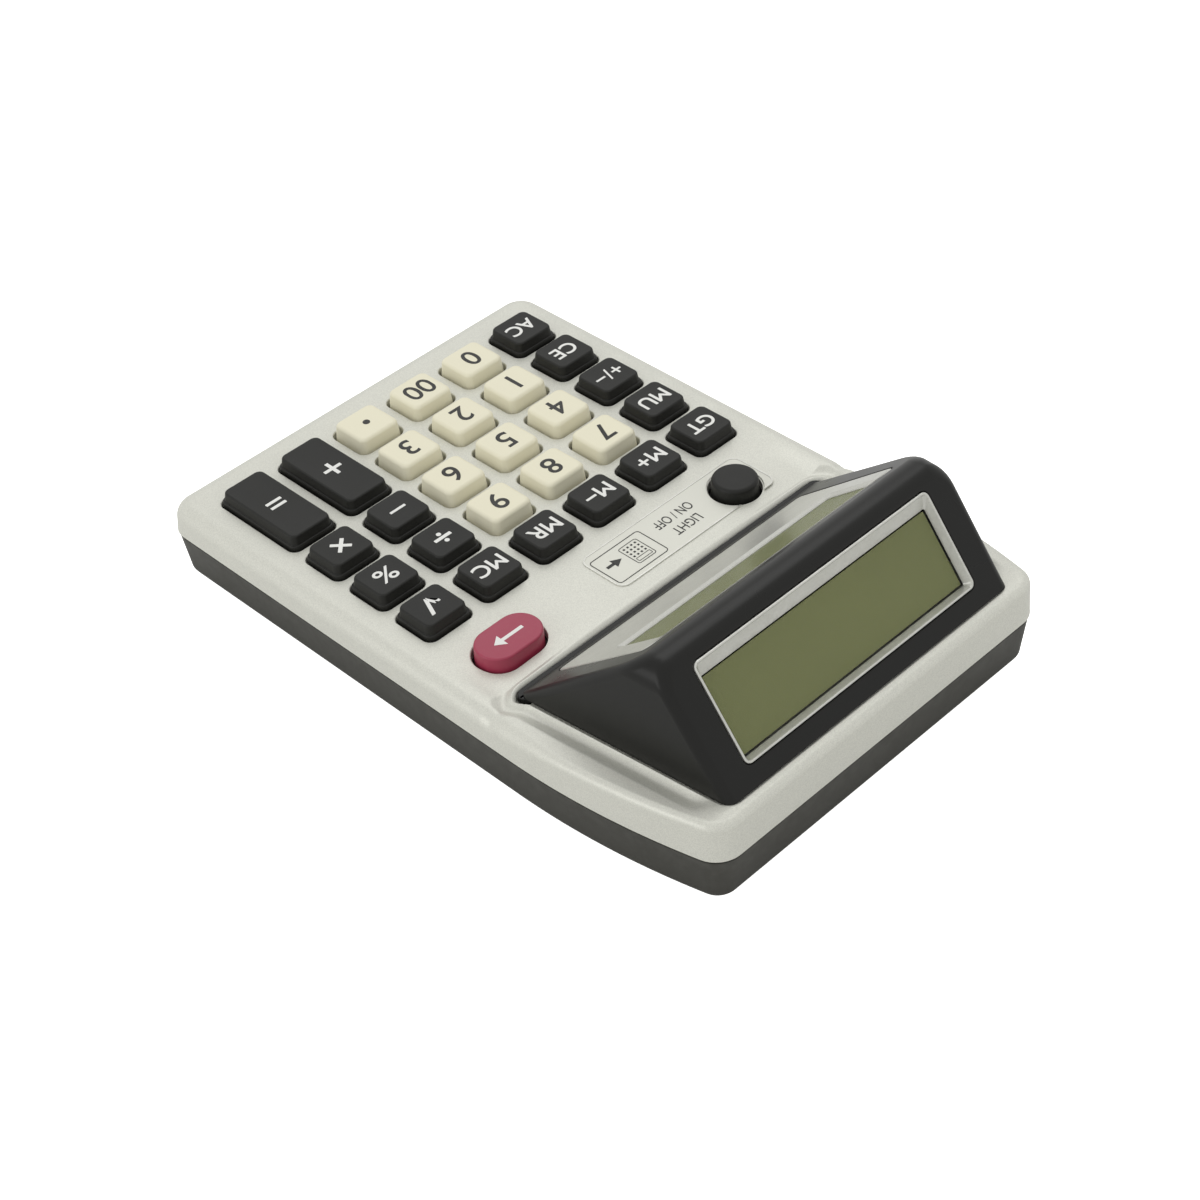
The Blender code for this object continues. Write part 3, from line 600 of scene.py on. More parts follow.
# height, how much each stroke is thickened on either side, stretch, greatest width
# the dot gives only its size, twice, and the minus its height and width
letters, digits = (0.0052, 0.00011, 1.0, 0.0098), (0.0072, 0.00010, 1.0, 0.0098)
legends = {
    "key_ac": ("AC", letters), "key_ce": ("CE", letters), "key_mu": ("MU", letters),
    "key_gt": ("GT", letters), "key_mr": ("MR", letters), "key_mc": ("MC", letters),
    "key_m_plus": ("M+", letters), "key_m_minus": ("M−", letters),
    "key_sign": ("+/−", (0.0052, 0.00006, 1.0, 0.0096)),
    "key_0": ("0", digits), "key_1": ("1", digits), "key_4": ("4", digits), "key_7": ("7", digits),
    "key_00": ("00", digits), "key_2": ("2", digits), "key_5": ("5", digits), "key_8": ("8", digits),
    "key_3": ("3", digits), "key_6": ("6", digits), "key_9": ("9", digits), "key_dot": (".", (0.0022,) * 2),
    "key_plus": ("+", (0.0060, 0.00008, 1.0, 0.0100)), "key_minus": ("−", (0.0009, 0.0054)),
    "key_divide": ("÷", (0.00490, 0.00010, 1.0, 0.0100)), "key_equals": ("=", (0.0034, 0.00010, 1.0, 0.0100)),
    "key_multiply": ("×", (0.0050, 0.00010, 1.0, 0.0100)),
    "key_percent": ("%", (0.0058, 0.00008, 1.2, 0.0100)),
    "key_sqrt": ("√", (0.0066, 0.00012, 1.1, 0.0100)),
}
gridKeys = [node for node in frame["nodes"] if node.startswith("key_") and node != "key_backspace"]


def textMesh(words, height, thicken=0.0, stretch=1.0, widest=None, width=None):
    # lettering as a thin solid centred on the origin; shifted copies thicken each stroke
    curve = bpy.data.curves.new("lettering", "FONT")
    curve.body = words
    curve.size = 1.0
    curve.resolution_u = 6
    curve.extrude = 0.5
    carrier = looseObject("lettering", curve)
    mesh = evaluatedMesh(carrier, "lettering")
    bpy.data.objects.remove(carrier, do_unlink=True)
    builder = bmesh.new()
    builder.from_mesh(mesh)
    bmesh.ops.remove_doubles(builder, verts=builder.verts, dist=0.0005)
    builder.to_mesh(mesh)
    builder.free()
    xs, ys = [v.co.x for v in mesh.vertices], [v.co.y for v in mesh.vertices]
    left, right, low, high = min(xs), max(xs), min(ys), max(ys)
    scale = (height - 2 * thicken) / (high - low)
    across = width / (right - left) if width else scale * stretch
    if widest and across * (right - left) > widest:
        across = widest / (right - left)
    centre = Matrix.Translation((-(left + right) / 2, -(low + high) / 2, 0.5))
    mesh.transform(Matrix.Diagonal((across, scale, keyShape["inkThickness"], 1.0)) @ centre)
    if not thicken:
        return mesh
    copies = []
    for step in range(6):
        angle = math.pi / 3 * step + 0.3
        copies.append(mesh.copy())
        copies[-1].transform(Matrix.Translation((thicken * math.cos(angle), thicken * math.sin(angle),
                                                 0.000001 * step)))
    return joinMeshes("lettering", copies)


def stamp(outline):
    return loftMesh("stamp", [level(outline, 0.0), level(outline, keyShape["inkThickness"])])


def keyCapMesh(name, outline, stand, look, low):
    # outline(grow) gives the plan; rings run from the hidden foot to the dished top
    rings = [level(outline(0.0), low)]
    if "skirtStep" in look:
        # the skirt ends in a narrow shelf, and the cap stands on it
        skirtTop, step = topZ + look["skirtHeight"], look["skirtStep"]
        for inset, above in ((0.0, -0.0003), (0.00008, -0.00010), (0.00022, 0.0), (step - 0.00008, 0.00004),
                             (step, 0.00014)):
            rings.append(level(outline(-inset), skirtTop + above))
    start = look.get("skirtStep", 0.0) + look["flare"]
    for step in range(9):
        angle = math.pi / 2 * step / 8
        grow = -start - look["round"] * (1 - math.cos(angle))
        rings.append(level(outline(grow), stand - look["round"] * (1 - math.sin(angle))))
    edge = start + look["round"]
    for step in range(1, 5):
        sink = look["dish"] * (1 - (1 - step / 4) ** 2)
        rings.append(level(outline(-edge - keyShape["dishReach"] * step / 4), stand - sink))
    return loftMesh(name, rings)


holeTools = []


def addHole(outline, clear, x, y):
    roll = keyShape["rimRound"]
    rings = [level(moved(outline(clear), x, y), topZ - 0.0045),
             level(moved(outline(clear), x, y), topZ - roll)]
    for step in range(1, 6):
        angle = math.pi / 2 * step / 5.6
        rings.append(level(moved(outline(clear + roll * (1 - math.cos(angle))), x, y),
                           topZ - roll * (1 - math.sin(angle))))
    rings.append(level(moved(outline(clear + roll * 1.25), x, y), topZ + 0.0008))
    holeTools.append(loftMesh("hole", rings))


def bodyOf(node):
    for body, members in frame["record"]["behaviour"]["bodies"].items():
        if node in members:
            return body


def addKey(node, plan, look, material):
    # plan(halfX, halfY, grow) gives the outline; returns where the legend goes
    low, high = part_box(node)
    x, y = (low.x + high.x) / 2, (low.y + high.y) / 2
    lip = keyShape["flangeLip"]
    halfX, halfY = (high.x - low.x) / 2 - lip, (high.y - low.y) / 2 - lip
    outline = lambda grow: plan(halfX, halfY, grow)
    mesh = keyCapMesh(node, outline, high.z + min(look["dish"], 0.0), look, low.z)
    mesh.transform(Matrix.Translation((x, y, 0.0)))
    makePiece(node + ".cap", mesh, material, bodyOf(node), (node,), 34.0)
    addHole(outline, look["clearance"], x, y)
    return Vector((x, y, high.z - max(look["dish"], 0.0) + 0.00001)), halfX


def squarePlan(halfX, halfY, grow):
    corner = keyShape["corner"] + grow * (keyShape["cornerShrink"] if grow < 0 else 1.0)
    return roundedBox(halfX + grow, -halfY - grow, halfY + grow, corner, 8)


def ovalPlan(halfX, halfY, grow):
    return roundedBox(halfX + grow, -halfY - grow, halfY + grow, halfY + grow - 0.0001, 14)


for node in gridKeys:
    cream = node[4:].isdigit() or node == "key_dot"
    place, halfX = addKey(node, squarePlan, keyLooks["cream" if cream else "dark"],
                          paint["creamKey" if cream else "blackKey"])
    words, shape = legends[node]
    if words == ".":
        ink = stamp(disc(shape[0] / 2, 24))
    elif words == "−":
        ink = stamp(roundedBox(shape[1] / 2, -shape[0] / 2, shape[0] / 2, 0.0001, 2))
    else:
        ink = textMesh(words, *shape)
    ink.transform(Matrix.Translation(place))
    makePiece(node + ".legend", ink, paint["blackInk" if cream else "whiteInk"], bodyOf(node))

# the oval key carries an arrow, the round lamp button nothing
backArrow = {"length": 0.0100, "head": 0.0044, "shaft": 0.0011, "sweep": 1.3}
place, halfX = addKey("key_backspace", ovalPlan, keyLooks["oval"], paint["redKey"])
reach, barb, shaft = backArrow["length"] / 2, backArrow["head"] / 2, backArrow["shaft"] / 2
neck = reach - backArrow["sweep"] * barb
ink = stamp([Vector(point) for point in ((reach, 0.0), (neck, barb), (neck, shaft), (-reach, shaft),
                                         (-reach, -shaft), (neck, -shaft), (neck, -barb))])
ink.transform(Matrix.Translation(place))
makePiece("key_backspace.legend", ink, paint["whiteInk"], bodyOf("key_backspace"))
place, lampRadius = addKey("lamp_button", lambda halfX, halfY, grow: disc(halfX + grow, 56),
                           keyLooks["button"], paint["blackKey"])
lampX, lampY = place.x, place.y
print("keys made:", len(gridKeys) + 2)

shell = combine(upperShellMesh(), [("DIFFERENCE", joinMeshes("holes", holeTools))])
makePiece("upper_shell", shell, paint["silverPaint"], "case", ("top_case",), 38.0)
print("upper shell made:", len(shell.polygons))

# label field between the keys and the head
# words hold text, width and how far it stands from the field's middle line

label = {
    "left": -0.0500, "right": 0.0111, "front": 0.0044, "rear": 0.0213,
    "corner": 0.0030, "thickness": 0.00020, "lampClearance": 0.0012,
    "rimInset": 0.0001, "rimWidth": 0.0004, "rimHeight": 0.00012,
    "words": (("LIGHT", 0.0098, 0.0027), ("ON / OFF", 0.0138, -0.0027)), "wordHeight": 0.0033,
    "wordX": -0.0197,
    "boxLeft": -0.0088, "boxRight": 0.0100, "boxFront": 0.0071, "boxRear": 0.0194,
    "boxCorner": 0.0012, "line": 0.00028,
}


def plate(left, right, front, rear, corner, low, thickness, soft):
    halfX, x = (right - left) / 2, (right + left) / 2
    rings = []
    for inset, z in ((0.0, low), (0.0, low + thickness - soft), (soft * 0.3, low + thickness - soft * 0.3),
                     (soft, low + thickness)):
        rings.append(level(moved(roundedBox(halfX - inset, front + inset, rear - inset, corner - inset, 10),
                                 x, 0.0), z))
    return loftMesh("plate", rings)


def hoop(left, right, front, rear, corner, line, low, thickness):
    # thin printed outline with rounded corners
    halfX, x = (right - left) / 2, (right + left) / 2
    outer = moved(roundedBox(halfX, front, rear, corner, 8), x, 0.0)
    inner = moved(roundedBox(halfX - line, front + line, rear - line, corner - line, 8), x, 0.0)
    return loftMesh("hoop", [level(outer, low), level(outer, low + thickness), level(inner, low + thickness),
                             level(inner, low)], True)


field = plate(label["left"], label["right"], label["front"], label["rear"], label["corner"],
              topZ + 0.00001, label["thickness"], 0.00014)
clearDisc = disc(lampRadius + label["lampClearance"], 64, lampX, lampY)
clearing = loftMesh("clearing", [level(clearDisc, topZ - 0.001), level(clearDisc, topZ + 0.002)])
inset = label["rimInset"]
rim = hoop(label["left"] + inset, label["right"] - inset, label["front"] + inset, label["rear"] - inset,
           label["corner"], label["rimWidth"], topZ + label["thickness"], label["rimHeight"])
makePiece("label_rim", combine(rim, [("DIFFERENCE", clearing.copy())]), paint["silverPlate"], "case",
          (), 25.0)
makePiece("label_field", combine(field, [("DIFFERENCE", clearing)]), paint["labelFilm"], "case",
          (), 25.0)

inkZ = topZ + label["thickness"] + 0.00002
prints = [hoop(label["boxLeft"], label["boxRight"], label["boxFront"], label["boxRear"],
               label["boxCorner"], label["line"], inkZ, keyShape["inkThickness"])]
for words, width, offset in label["words"]:
    line = textMesh(words, label["wordHeight"], width=width)
    line.transform(Matrix.Translation((label["wordX"], (label["front"] + label["rear"]) / 2 + offset, inkZ)))
    prints.append(line)
makePiece("label_words", joinMeshes("label_words", prints), paint["blackInk"], "case")


# geometry node trees for what repeats

def geometryTree(name, inputs):
    tree = bpy.data.node_groups.new(name, "GeometryNodeTree")
    tree.interface.new_socket(name="Geometry", in_out="INPUT", socket_type="NodeSocketGeometry")
    for socketName, kind, value in inputs:
        socket = tree.interface.new_socket(name=socketName, in_out="INPUT", socket_type=kind)
        if value is not None:
            socket.default_value = value
    tree.interface.new_socket(name="Geometry", in_out="OUTPUT", socket_type="NodeSocketGeometry")
    return tree, wire(tree, "NodeGroupInput").outputs, wire(tree, "NodeGroupOutput").inputs


def finishTree(tree, geometry, material, output):
    solid = wire(tree, "GeometryNodeRealizeInstances", {0: geometry}).outputs[0]
    coated = wire(tree, "GeometryNodeSetMaterial", {0: solid, "Material": material}).outputs[0]
    tree.links.new(coated, output["Geometry"])


def grow(name, mesh, tree, values):
    # runs a tree on the mesh with these named values and gives back the plain result
    carrier = looseObject(name, mesh)
    modifier = carrier.modifiers.new(tree.name, "NODES")
    modifier.node_group = tree
    for item in tree.interface.items_tree:
        if item.item_type == "SOCKET" and item.in_out == "INPUT" and item.name in values:
            modifier[item.identifier] = values[item.name]
    result = evaluatedMesh(carrier, name)
    bpy.data.objects.remove(carrier, do_unlink=True)
    return result


def pointMesh(points):
    mesh = bpy.data.meshes.new("points")
    mesh.from_pydata([tuple(point) for point in points], [], [])
    return mesh


# a block of small squares, for the printed keypad sign
squares, squaresIn, squaresOut = geometryTree("squareGrid", [
    ("Columns", "NodeSocketInt", 4), ("Rows", "NodeSocketInt", 4), ("Width", "NodeSocketFloat", 0.004),
    ("Depth", "NodeSocketFloat", 0.004), ("Square", "NodeSocketFloat", 0.0005),
    ("Thickness", "NodeSocketFloat", 0.00004), ("Centre", "NodeSocketVector", None),
    ("Material", "NodeSocketMaterial", None)])
spots = wire(squares, "GeometryNodeMeshGrid", {"Size X": squaresIn["Width"], "Size Y": squaresIn["Depth"],
                                               "Vertices X": squaresIn["Columns"],
                                               "Vertices Y": squaresIn["Rows"]}).outputs["Mesh"]
side = wire(squares, "ShaderNodeCombineXYZ", {"X": squaresIn["Square"], "Y": squaresIn["Square"],
                                              "Z": squaresIn["Thickness"]}).outputs[0]
tile = wire(squares, "GeometryNodeMeshCube", {"Size": side}).outputs["Mesh"]
tiles = wire(squares, "GeometryNodeInstanceOnPoints", {"Points": spots, "Instance": tile}).outputs[0]
tiles = wire(squares, "GeometryNodeTransform", {"Geometry": tiles, "Translation": squaresIn["Centre"]})
finishTree(squares, tiles.outputs[0], squaresIn["Material"], squaresOut)

sign = {
    "columns": 4, "rows": 4, "width": 0.0042, "depth": 0.0040, "square": 0.00062,
    "body": (0.0034, -0.0033, 0.0052, 0.0008, 0.00022),    # half width, front, rear, corner, line
    "screen": (0.0026, 0.0029, 0.0044, 0.0003, 0.00018),
    "pointFrom": 0.0050, "pointTo": 0.0080, "pointHalf": 0.0017,
    "tailX": 0.0092, "tailHalf": (0.0013, 0.0005),
}
signX, signY = label["boxLeft"] + 0.0062, (label["boxFront"] + label["boxRear"]) / 2 - 0.0010
keypadSign = grow("label_sign", pointMesh([(0, 0, 0)]), squares, {
    "Columns": sign["columns"], "Rows": sign["rows"], "Width": sign["width"], "Depth": sign["depth"],
    "Square": sign["square"], "Thickness": keyShape["inkThickness"],
    "Centre": (signX, signY, inkZ + keyShape["inkThickness"] / 2), "Material": paint["blackInk"]})
signParts = [keypadSign]
for halfX, front, rear, corner, line in (sign["body"], sign["screen"]):
    signParts.append(hoop(signX - halfX, signX + halfX, signY + front, signY + rear, corner, line, inkZ,
                          keyShape["inkThickness"]))
pointer = [Vector((signX + sign["pointFrom"], signY)),
           Vector((signX + sign["pointTo"], signY - sign["pointHalf"])),
           Vector((signX + sign["pointTo"], signY + sign["pointHalf"]))]
tailX, tailY = sign["tailHalf"]
tail = moved(roundedBox(tailX, signY - tailY, signY + tailY, 0.0001, 2), signX + sign["tailX"], 0.0)
inkTopZ = inkZ + keyShape["inkThickness"]
for outline in (pointer, tail):
    signParts.append(loftMesh("arrow", [level(outline, inkZ), level(outline, inkTopZ)]))
makePiece("label_sign", joinMeshes("label_sign", signParts), paint["blackInk"], "case")
print("label field made")

# display head

frontPlace = Matrix.Translation((0.0, headFrontY, headBaseZ)) @ Matrix.Rotation(frontSlope, 4, "X")
rearPlace = (Matrix.Translation((0.0, headRearY, headBaseZ)) @ Matrix.Rotation(math.pi, 4, "Z")
             @ Matrix.Rotation(rearSlope, 4, "X"))


def wedgeMesh(name, inward, lowFront, lowRear, rounded):
    # the head as a wedge of flat faces, all moved in by inward; rounded eases its edges
    def half(y, z):
        share = (y - headFrontY) / (headRearY - headFrontY)
        full = headPlan["frontHalf"] + (headPlan["rearHalf"] - headPlan["frontHalf"]) * share
        return full - headPlan["sideLean"] * (z - headBaseZ) / headHeight - inward

    topOfWedge = ridgeZ - inward
    frontAt = lambda z: headFrontY + (z - headBaseZ) / math.tan(frontSlope) + inward / math.sin(frontSlope)
    rearAt = lambda z: headRearY - (z - headBaseZ) / math.tan(rearSlope) - inward / math.sin(rearSlope)
    corners = []
    for y, z in ((frontAt(lowFront), lowFront), (rearAt(lowRear), lowRear), (rearAt(topOfWedge), topOfWedge),
                 (frontAt(topOfWedge), topOfWedge)):
        corners += [(-half(y, z), y, z), (half(y, z), y, z)]
    mesh = bpy.data.meshes.new(name)
    mesh.from_pydata(corners, [], [(0, 2, 3, 1), (2, 4, 5, 3), (4, 6, 7, 5), (6, 0, 1, 7), (0, 6, 4, 2),
                                   (1, 3, 5, 7)])
    if not rounded:
        return mesh
    builder = bmesh.new()
    builder.from_mesh(mesh)
    # rounds first the two ends of the ridge, then the edges of the rear and the front face
    ends = [edge for edge in builder.edges
            if all(vertex.co.z > topOfWedge - 1e-6 for vertex in edge.verts)
            and edge.verts[0].co.x * edge.verts[1].co.x > 0]
    roundOff(builder, ends, headPlan["ridgeEndRound"])
    for sign, radius in ((1, headPlan["rearEdgeRound"]), (-1, headPlan["frontEdgeRound"])):
        builder.normal_update()
        face = max(builder.faces, key=lambda item: item.calc_area() * (sign * item.normal.y > 0.3))
        edges = [edge for edge in face.edges
                 if not all(vertex.co.z < max(lowFront, lowRear) + 1e-6 for vertex in edge.verts)]
        roundOff(builder, edges, radius)
    builder.normal_update()
    builder.to_mesh(mesh)
    builder.free()
    return mesh


def roundOff(builder, edges, radius):
    bmesh.ops.bevel(builder, geom=edges, offset=radius, offset_type="OFFSET", segments=8, profile=0.5,
                    affect="EDGES", clamp_overlap=False)


def pocketTool(place, halfX, low, high, corner, depth, roll=0.0):
    # a straight pocket into a face, its mouth rolled over by roll
    rings = [level(roundedBox(halfX, low, high, corner), -depth)]
    if roll:
        for step in range(6):
            angle = math.pi / 2 * step / 5.6
            out = roll * (1 - math.cos(angle))
            rings.append(level(roundedBox(halfX + out, low - out, high + out, corner + out),
                               -roll * (1 - math.sin(angle))))
        out = roll * 1.3
        rings.append(level(roundedBox(halfX + out, low - out, high + out, corner + out), 0.0012))
    else:
        rings.append(level(roundedBox(halfX, low, high, corner), 0.0012))
    mesh = loftMesh("pocket", rings)
    mesh.transform(place)
    return mesh


def faceFrame(name, place, sections):
    # a frame lofted round a face: each section is half width, low edge, high edge, corner, height
    mesh = loftMesh(name, [level(roundedBox(halfX, low, high, corner, 10), z)
                           for halfX, low, high, corner, z in sections], True)
    mesh.transform(place)
    return mesh


def faceExtent(node, place):
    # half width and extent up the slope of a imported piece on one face
    inverse = place.inverted()
    spots = [inverse @ vertex.co for vertex in frame["nodes"][node].data.vertices]
    return max(p.x for p in spots), min(p.y for p in spots), max(p.y for p in spots)


displayFaces = {
    "plateRound": 0.0004, "frontCorner": 0.0022, "frontSlant": 0.0017, "frontSink": 0.0008,
    "rearCorner": 0.0022, "lipWidth": 0.0005, "lipProud": 0.00022, "rearSink": 0.0021,
    "rearTopBand": 0.0042, "rearFootBand": 0.0015, "rearSideBand": 0.0017, "mouthRoll": 0.0004,
    "seatDepth": 0.0018,       # pocket that each silver piece sits in
    "openingDepth": 0.0050, "openingCorner": 0.0010,
    "paneSoft": 0.0001, "screenThick": 0.0012,
    "frontPane": 0.0004, "frontScreen": 0.0010,    # how far each pane and screen lies under its face
    "rearPane": 0.0012, "rearScreen": 0.0023,
}
frontHalf, frontFoot, frontHead = faceExtent("front_bezel", frontPlace)
rearHalf, rearFoot, rearHead = faceExtent("rear_bezel", rearPlace)
frontGlass = faceExtent("front_window", frontPlace)
rearGlass = faceExtent("rear_window", rearPlace)

housing = wedgeMesh("head_shell", 0.0, headBaseZ, headBaseZ + upperShell["rise"] - 0.0002, True)
wallIn = headPlan["wall"]
roll = displayFaces["mouthRoll"]
belowBaseZ = headBaseZ - 0.002
openings = [("DIFFERENCE", wedgeMesh("hollow", wallIn, belowBaseZ, belowBaseZ, False))]
for place, (halfX, low, high), glass, corner in (
        (frontPlace, (frontHalf, frontFoot, frontHead), frontGlass, displayFaces["frontCorner"]),
        (rearPlace, (rearHalf, rearFoot, rearHead), rearGlass, displayFaces["rearCorner"])):
    seat = pocketTool(place, halfX + seatGap, low - seatGap, high + seatGap, corner,
                      displayFaces["seatDepth"], roll)
    opening = pocketTool(place, glass[0] + seatGap, glass[1] - seatGap, glass[2] + seatGap,
                         displayFaces["openingCorner"], displayFaces["openingDepth"])
    openings += [("DIFFERENCE", seat), ("DIFFERENCE", opening)]
housing = combine(housing, openings)
makePiece("head_shell", housing, paint["glossBlack"], "case", ("head_housing",), 30.0)

# silver plate of the front face: a broad plain band below a slanted window opening
over = 0.0012 - seatGap
viewHalf, viewLow, viewHigh = frontGlass[0] - over, frontGlass[1] + over, frontGlass[2] - over
slant, sink, soft = displayFaces["frontSlant"], displayFaces["frontSink"], displayFaces["plateRound"]
corner = displayFaces["frontCorner"] - seatGap
frontPlate = faceFrame("front_plate", frontPlace, [
    (frontHalf, frontFoot, frontHead, corner, -0.0015),
    (frontHalf, frontFoot, frontHead, corner, -soft),
    (frontHalf - soft * 0.3, frontFoot + soft * 0.3, frontHead - soft * 0.3, corner - soft * 0.3,
     -soft * 0.3),
    (frontHalf - soft, frontFoot + soft, frontHead - soft, corner - soft, 0.0),
    (viewHalf + slant, viewLow - slant, viewHigh + 0.0008, 0.0018, 0.0),
    (viewHalf + slant - 0.0002, viewLow - slant + 0.0002, viewHigh + 0.0007, 0.0016, -0.0001),
    (viewHalf, viewLow, viewHigh, 0.0008, -sink),
    (viewHalf, viewLow, viewHigh, 0.0008, -0.0019)])
makePiece("front_plate", frontPlate, paint["silverPlate"], "case", ("front_bezel",), 24.0)

# silver frame of the rear face: a bright lip, then sides that slant in to the glass
lip, proud, sink = displayFaces["lipWidth"], displayFaces["lipProud"], displayFaces["rearSink"]
corner = displayFaces["rearCorner"] - seatGap
glassHalf = rearHalf - displayFaces["rearSideBand"]
glassLow, glassHigh = rearFoot + displayFaces["rearFootBand"], rearHead - displayFaces["rearTopBand"]
rearFrame = faceFrame("rear_frame", rearPlace, [
    (rearHalf, rearFoot, rearHead, corner, -0.0017),
    (rearHalf, rearFoot, rearHead, corner, proud * 0.2),
    (rearHalf - 0.00012, rearFoot + 0.00012, rearHead - 0.00012, corner, proud * 0.8),
    (rearHalf - 0.0003, rearFoot + 0.0003, rearHead - 0.0003, corner - 0.0002, proud),
    (rearHalf - lip, rearFoot + lip, rearHead - lip, corner - 0.0005, proud),
    (rearHalf - lip - 0.0001, rearFoot + lip + 0.0001, rearHead - lip - 0.0001, corner - 0.0006, proud * 0.7),
    (rearHalf - lip - 0.0003, rearFoot + lip + 0.0003, rearHead - lip - 0.0003, corner - 0.0007, -0.0002),
    (glassHalf, glassLow, glassHigh, 0.0006, -sink + 0.0001),
    (glassHalf, glassLow, glassHigh, 0.0006, -sink)])
makePiece("rear_frame", rearFrame, paint["silverPlate"], "case", ("rear_bezel",), 24.0)

# black strip at the bottom of the slot in front of the head: painted shade, a dark piece that stands in for
# the shadow in the slot
shadeStrip = {"reach": 0.0018, "under": 0.0030, "corner": 0.0026, "tall": 0.0030, "drop": 0.0003, "soft": 0.0002}
shadeStripRings = []
for out, z in ((0.0, topZ - shadeStrip["tall"]), (0.0, topZ - shadeStrip["drop"]),
               (-shadeStrip["soft"], topZ - shadeStrip["drop"] + shadeStrip["soft"])):
    shadeStripRings.append(level(roundedBox(headPlan["frontHalf"] + out, headFrontY - shadeStrip["reach"] - out,
                                     headFrontY + shadeStrip["under"], shadeStrip["corner"]), z))
# gloss black only so that the slot reads as shaded; painted shade, not a part of the case
makePiece("head_slot_shade_strip", loftMesh("head_slot_shade_strip", shadeStripRings), paint["glossBlack"], "case", (), 30.0)


def pane(name, place, halfX, low, high, corner, top, thick, material, slotName, node):
    # flat slab across a face, its upper rim eased; top is how far it lies under the face
    soft = displayFaces["paneSoft"]
    steps = ((0.0, -top - thick), (0.0, -top - soft), (soft * 0.3, -top - soft * 0.3), (soft, -top))
    mesh = loftMesh(name, [level(roundedBox(halfX - inset, low + inset, high - inset, corner), z)
                           for inset, z in steps])
    mesh.transform(place)
    makePiece(name, mesh, material, "case", (node,), 30.0)


pane("front_pane", frontPlace, viewHalf - 0.0001, viewLow + 0.0001, viewHigh - 0.0001, 0.0007,
     displayFaces["frontPane"], 0.0004, paint["clearWindow"], "window_clear", "front_window")
pane("front_screen", frontPlace, *frontGlass, 0.0004,
     displayFaces["frontScreen"], displayFaces["screenThick"], paint["glassGreen"], "lcd_green", "front_lcd")
pane("rear_pane", rearPlace, glassHalf - 0.0002, glassLow + 0.0002, glassHigh - 0.0002, 0.0005,
     displayFaces["rearPane"], 0.0006, paint["clearWindow"], "window_clear", "rear_window")
pane("rear_screen", rearPlace, glassHalf - 0.0005, glassLow + 0.0005, glassHigh - 0.0005, 0.0004,
     displayFaces["rearScreen"], displayFaces["screenThick"], paint["glassGreen"], "lcd_green", "rear_lcd")
print("display head made")

# lower shell

lowerShell = {
    "draft": 0.0018, "fillet": 0.0030, "wall": 0.0022, "rimRound": 0.0003,
    "soleStep": 0.0015, "soleInset": 0.0022, "soleSetback": 0.0345, "soleRear": 0.0070,
    "soleRound": 0.0005, "soleCorner": 0.006, "soleBend": 0.02,
}
footNodes = ["foot_front_left", "foot_front_right", "foot_rear_left", "foot_rear_right"]
screwNodes = ["screw_front_left", "screw_front_right", "screw_rear_left", "screw_rear_right"]
soleZ = baseLow.z
floorZ = soleZ + lowerShell["soleStep"]
rimZ = baseHigh.z


def middle(node):
    low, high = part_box(node)
    return (low + high) / 2


def lowerShellMesh():
    draft, fillet, wall, rim = (lowerShell[name] for name in ("draft", "fillet", "wall", "rimRound"))
    rings = [level(caseOutline(draft + fillet), floorZ)]
    for step in range(1, 9):
        angle = math.pi / 2 * step / 8
        rings.append(level(caseOutline(draft + fillet * (1 - math.sin(angle))),
                           floorZ + fillet * (1 - math.cos(angle))))
    rings.append(level(caseOutline(0.0004), rimZ - rim))
    rings.append(level(caseOutline(0.0004 + rim * 0.3), rimZ - rim * 0.3))
    rings.append(level(caseOutline(0.0004 + rim), rimZ))
    rings.append(level(caseOutline(wall), rimZ))
    rings.append(level(caseOutline(draft + wall), floorZ + wall + fillet))
    rings.append(level(caseOutline(draft + fillet + 0.0012), floorZ + wall))
    return loftMesh("lower_shell", rings)


def soleMesh():
    half = halfWidth - lowerShell["draft"] - lowerShell["fillet"] - lowerShell["soleInset"]
    narrow = halfWidth - max(point.x for point in caseOutline(0.0) if point.y > rearY - casePlan["corner"])
    soft, turn, bend = lowerShell["soleRound"], lowerShell["soleCorner"], lowerShell["soleBend"]
    rings = []
    for inset, z in ((soft, soleZ), (soft * 0.3, soleZ + soft * 0.3), (0.0, soleZ + soft),
                     (0.0, floorZ + 0.0011)):
        low, high = frontY + lowerShell["soleSetback"] + inset, rearY - lowerShell["soleRear"] - inset
        wide = half - inset
        rings.append(level(filletOutline([(-wide, low), (wide, low), (wide, headFrontY),
                                          (wide - narrow, high), (-wide + narrow, high), (-wide, headFrontY)],
                                         [turn, turn, bend, turn, turn, bend], 8), z))
    return loftMesh("sole", rings)


def prism(outline, low, high):
    return loftMesh("prism", [level(outline, low), level(outline, high)])


doorLow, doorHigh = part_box("battery_door")
doorX, doorY = (doorLow.x + doorHigh.x) / 2, (doorLow.y + doorHigh.y) / 2
doorHalfX, doorHalfY = (doorHigh.x - doorLow.x) / 2, (doorHigh.y - doorLow.y) / 2
bayMargin = 0.0030
channel = roundedBox(doorHalfX + seatGap, -doorHalfY - seatGap, rearY - doorY + 0.001, 0.0008)
channel = moved(channel, doorX, doorY)
bay = roundedBox(doorHalfX - bayMargin, -doorHalfY + bayMargin, doorHalfY - bayMargin, 0.0010)
bay = moved(bay, doorX, doorY)
footRadius = (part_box(footNodes[0])[1].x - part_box(footNodes[0])[0].x) / 2
screwRadius = (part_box(screwNodes[0])[1].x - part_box(screwNodes[0])[0].x) / 2
lensAt = middle("lamp_lens")
lensRadius = (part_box("lamp_lens")[1].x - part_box("lamp_lens")[0].x) / 2
screwSeatZ = floorZ + 0.0022
sockets = []
for node in footNodes:
    at = middle(node)
    sockets.append(prism(disc(footRadius + seatGap, 48, at.x, at.y), soleZ - 0.001, soleZ + 0.0010))
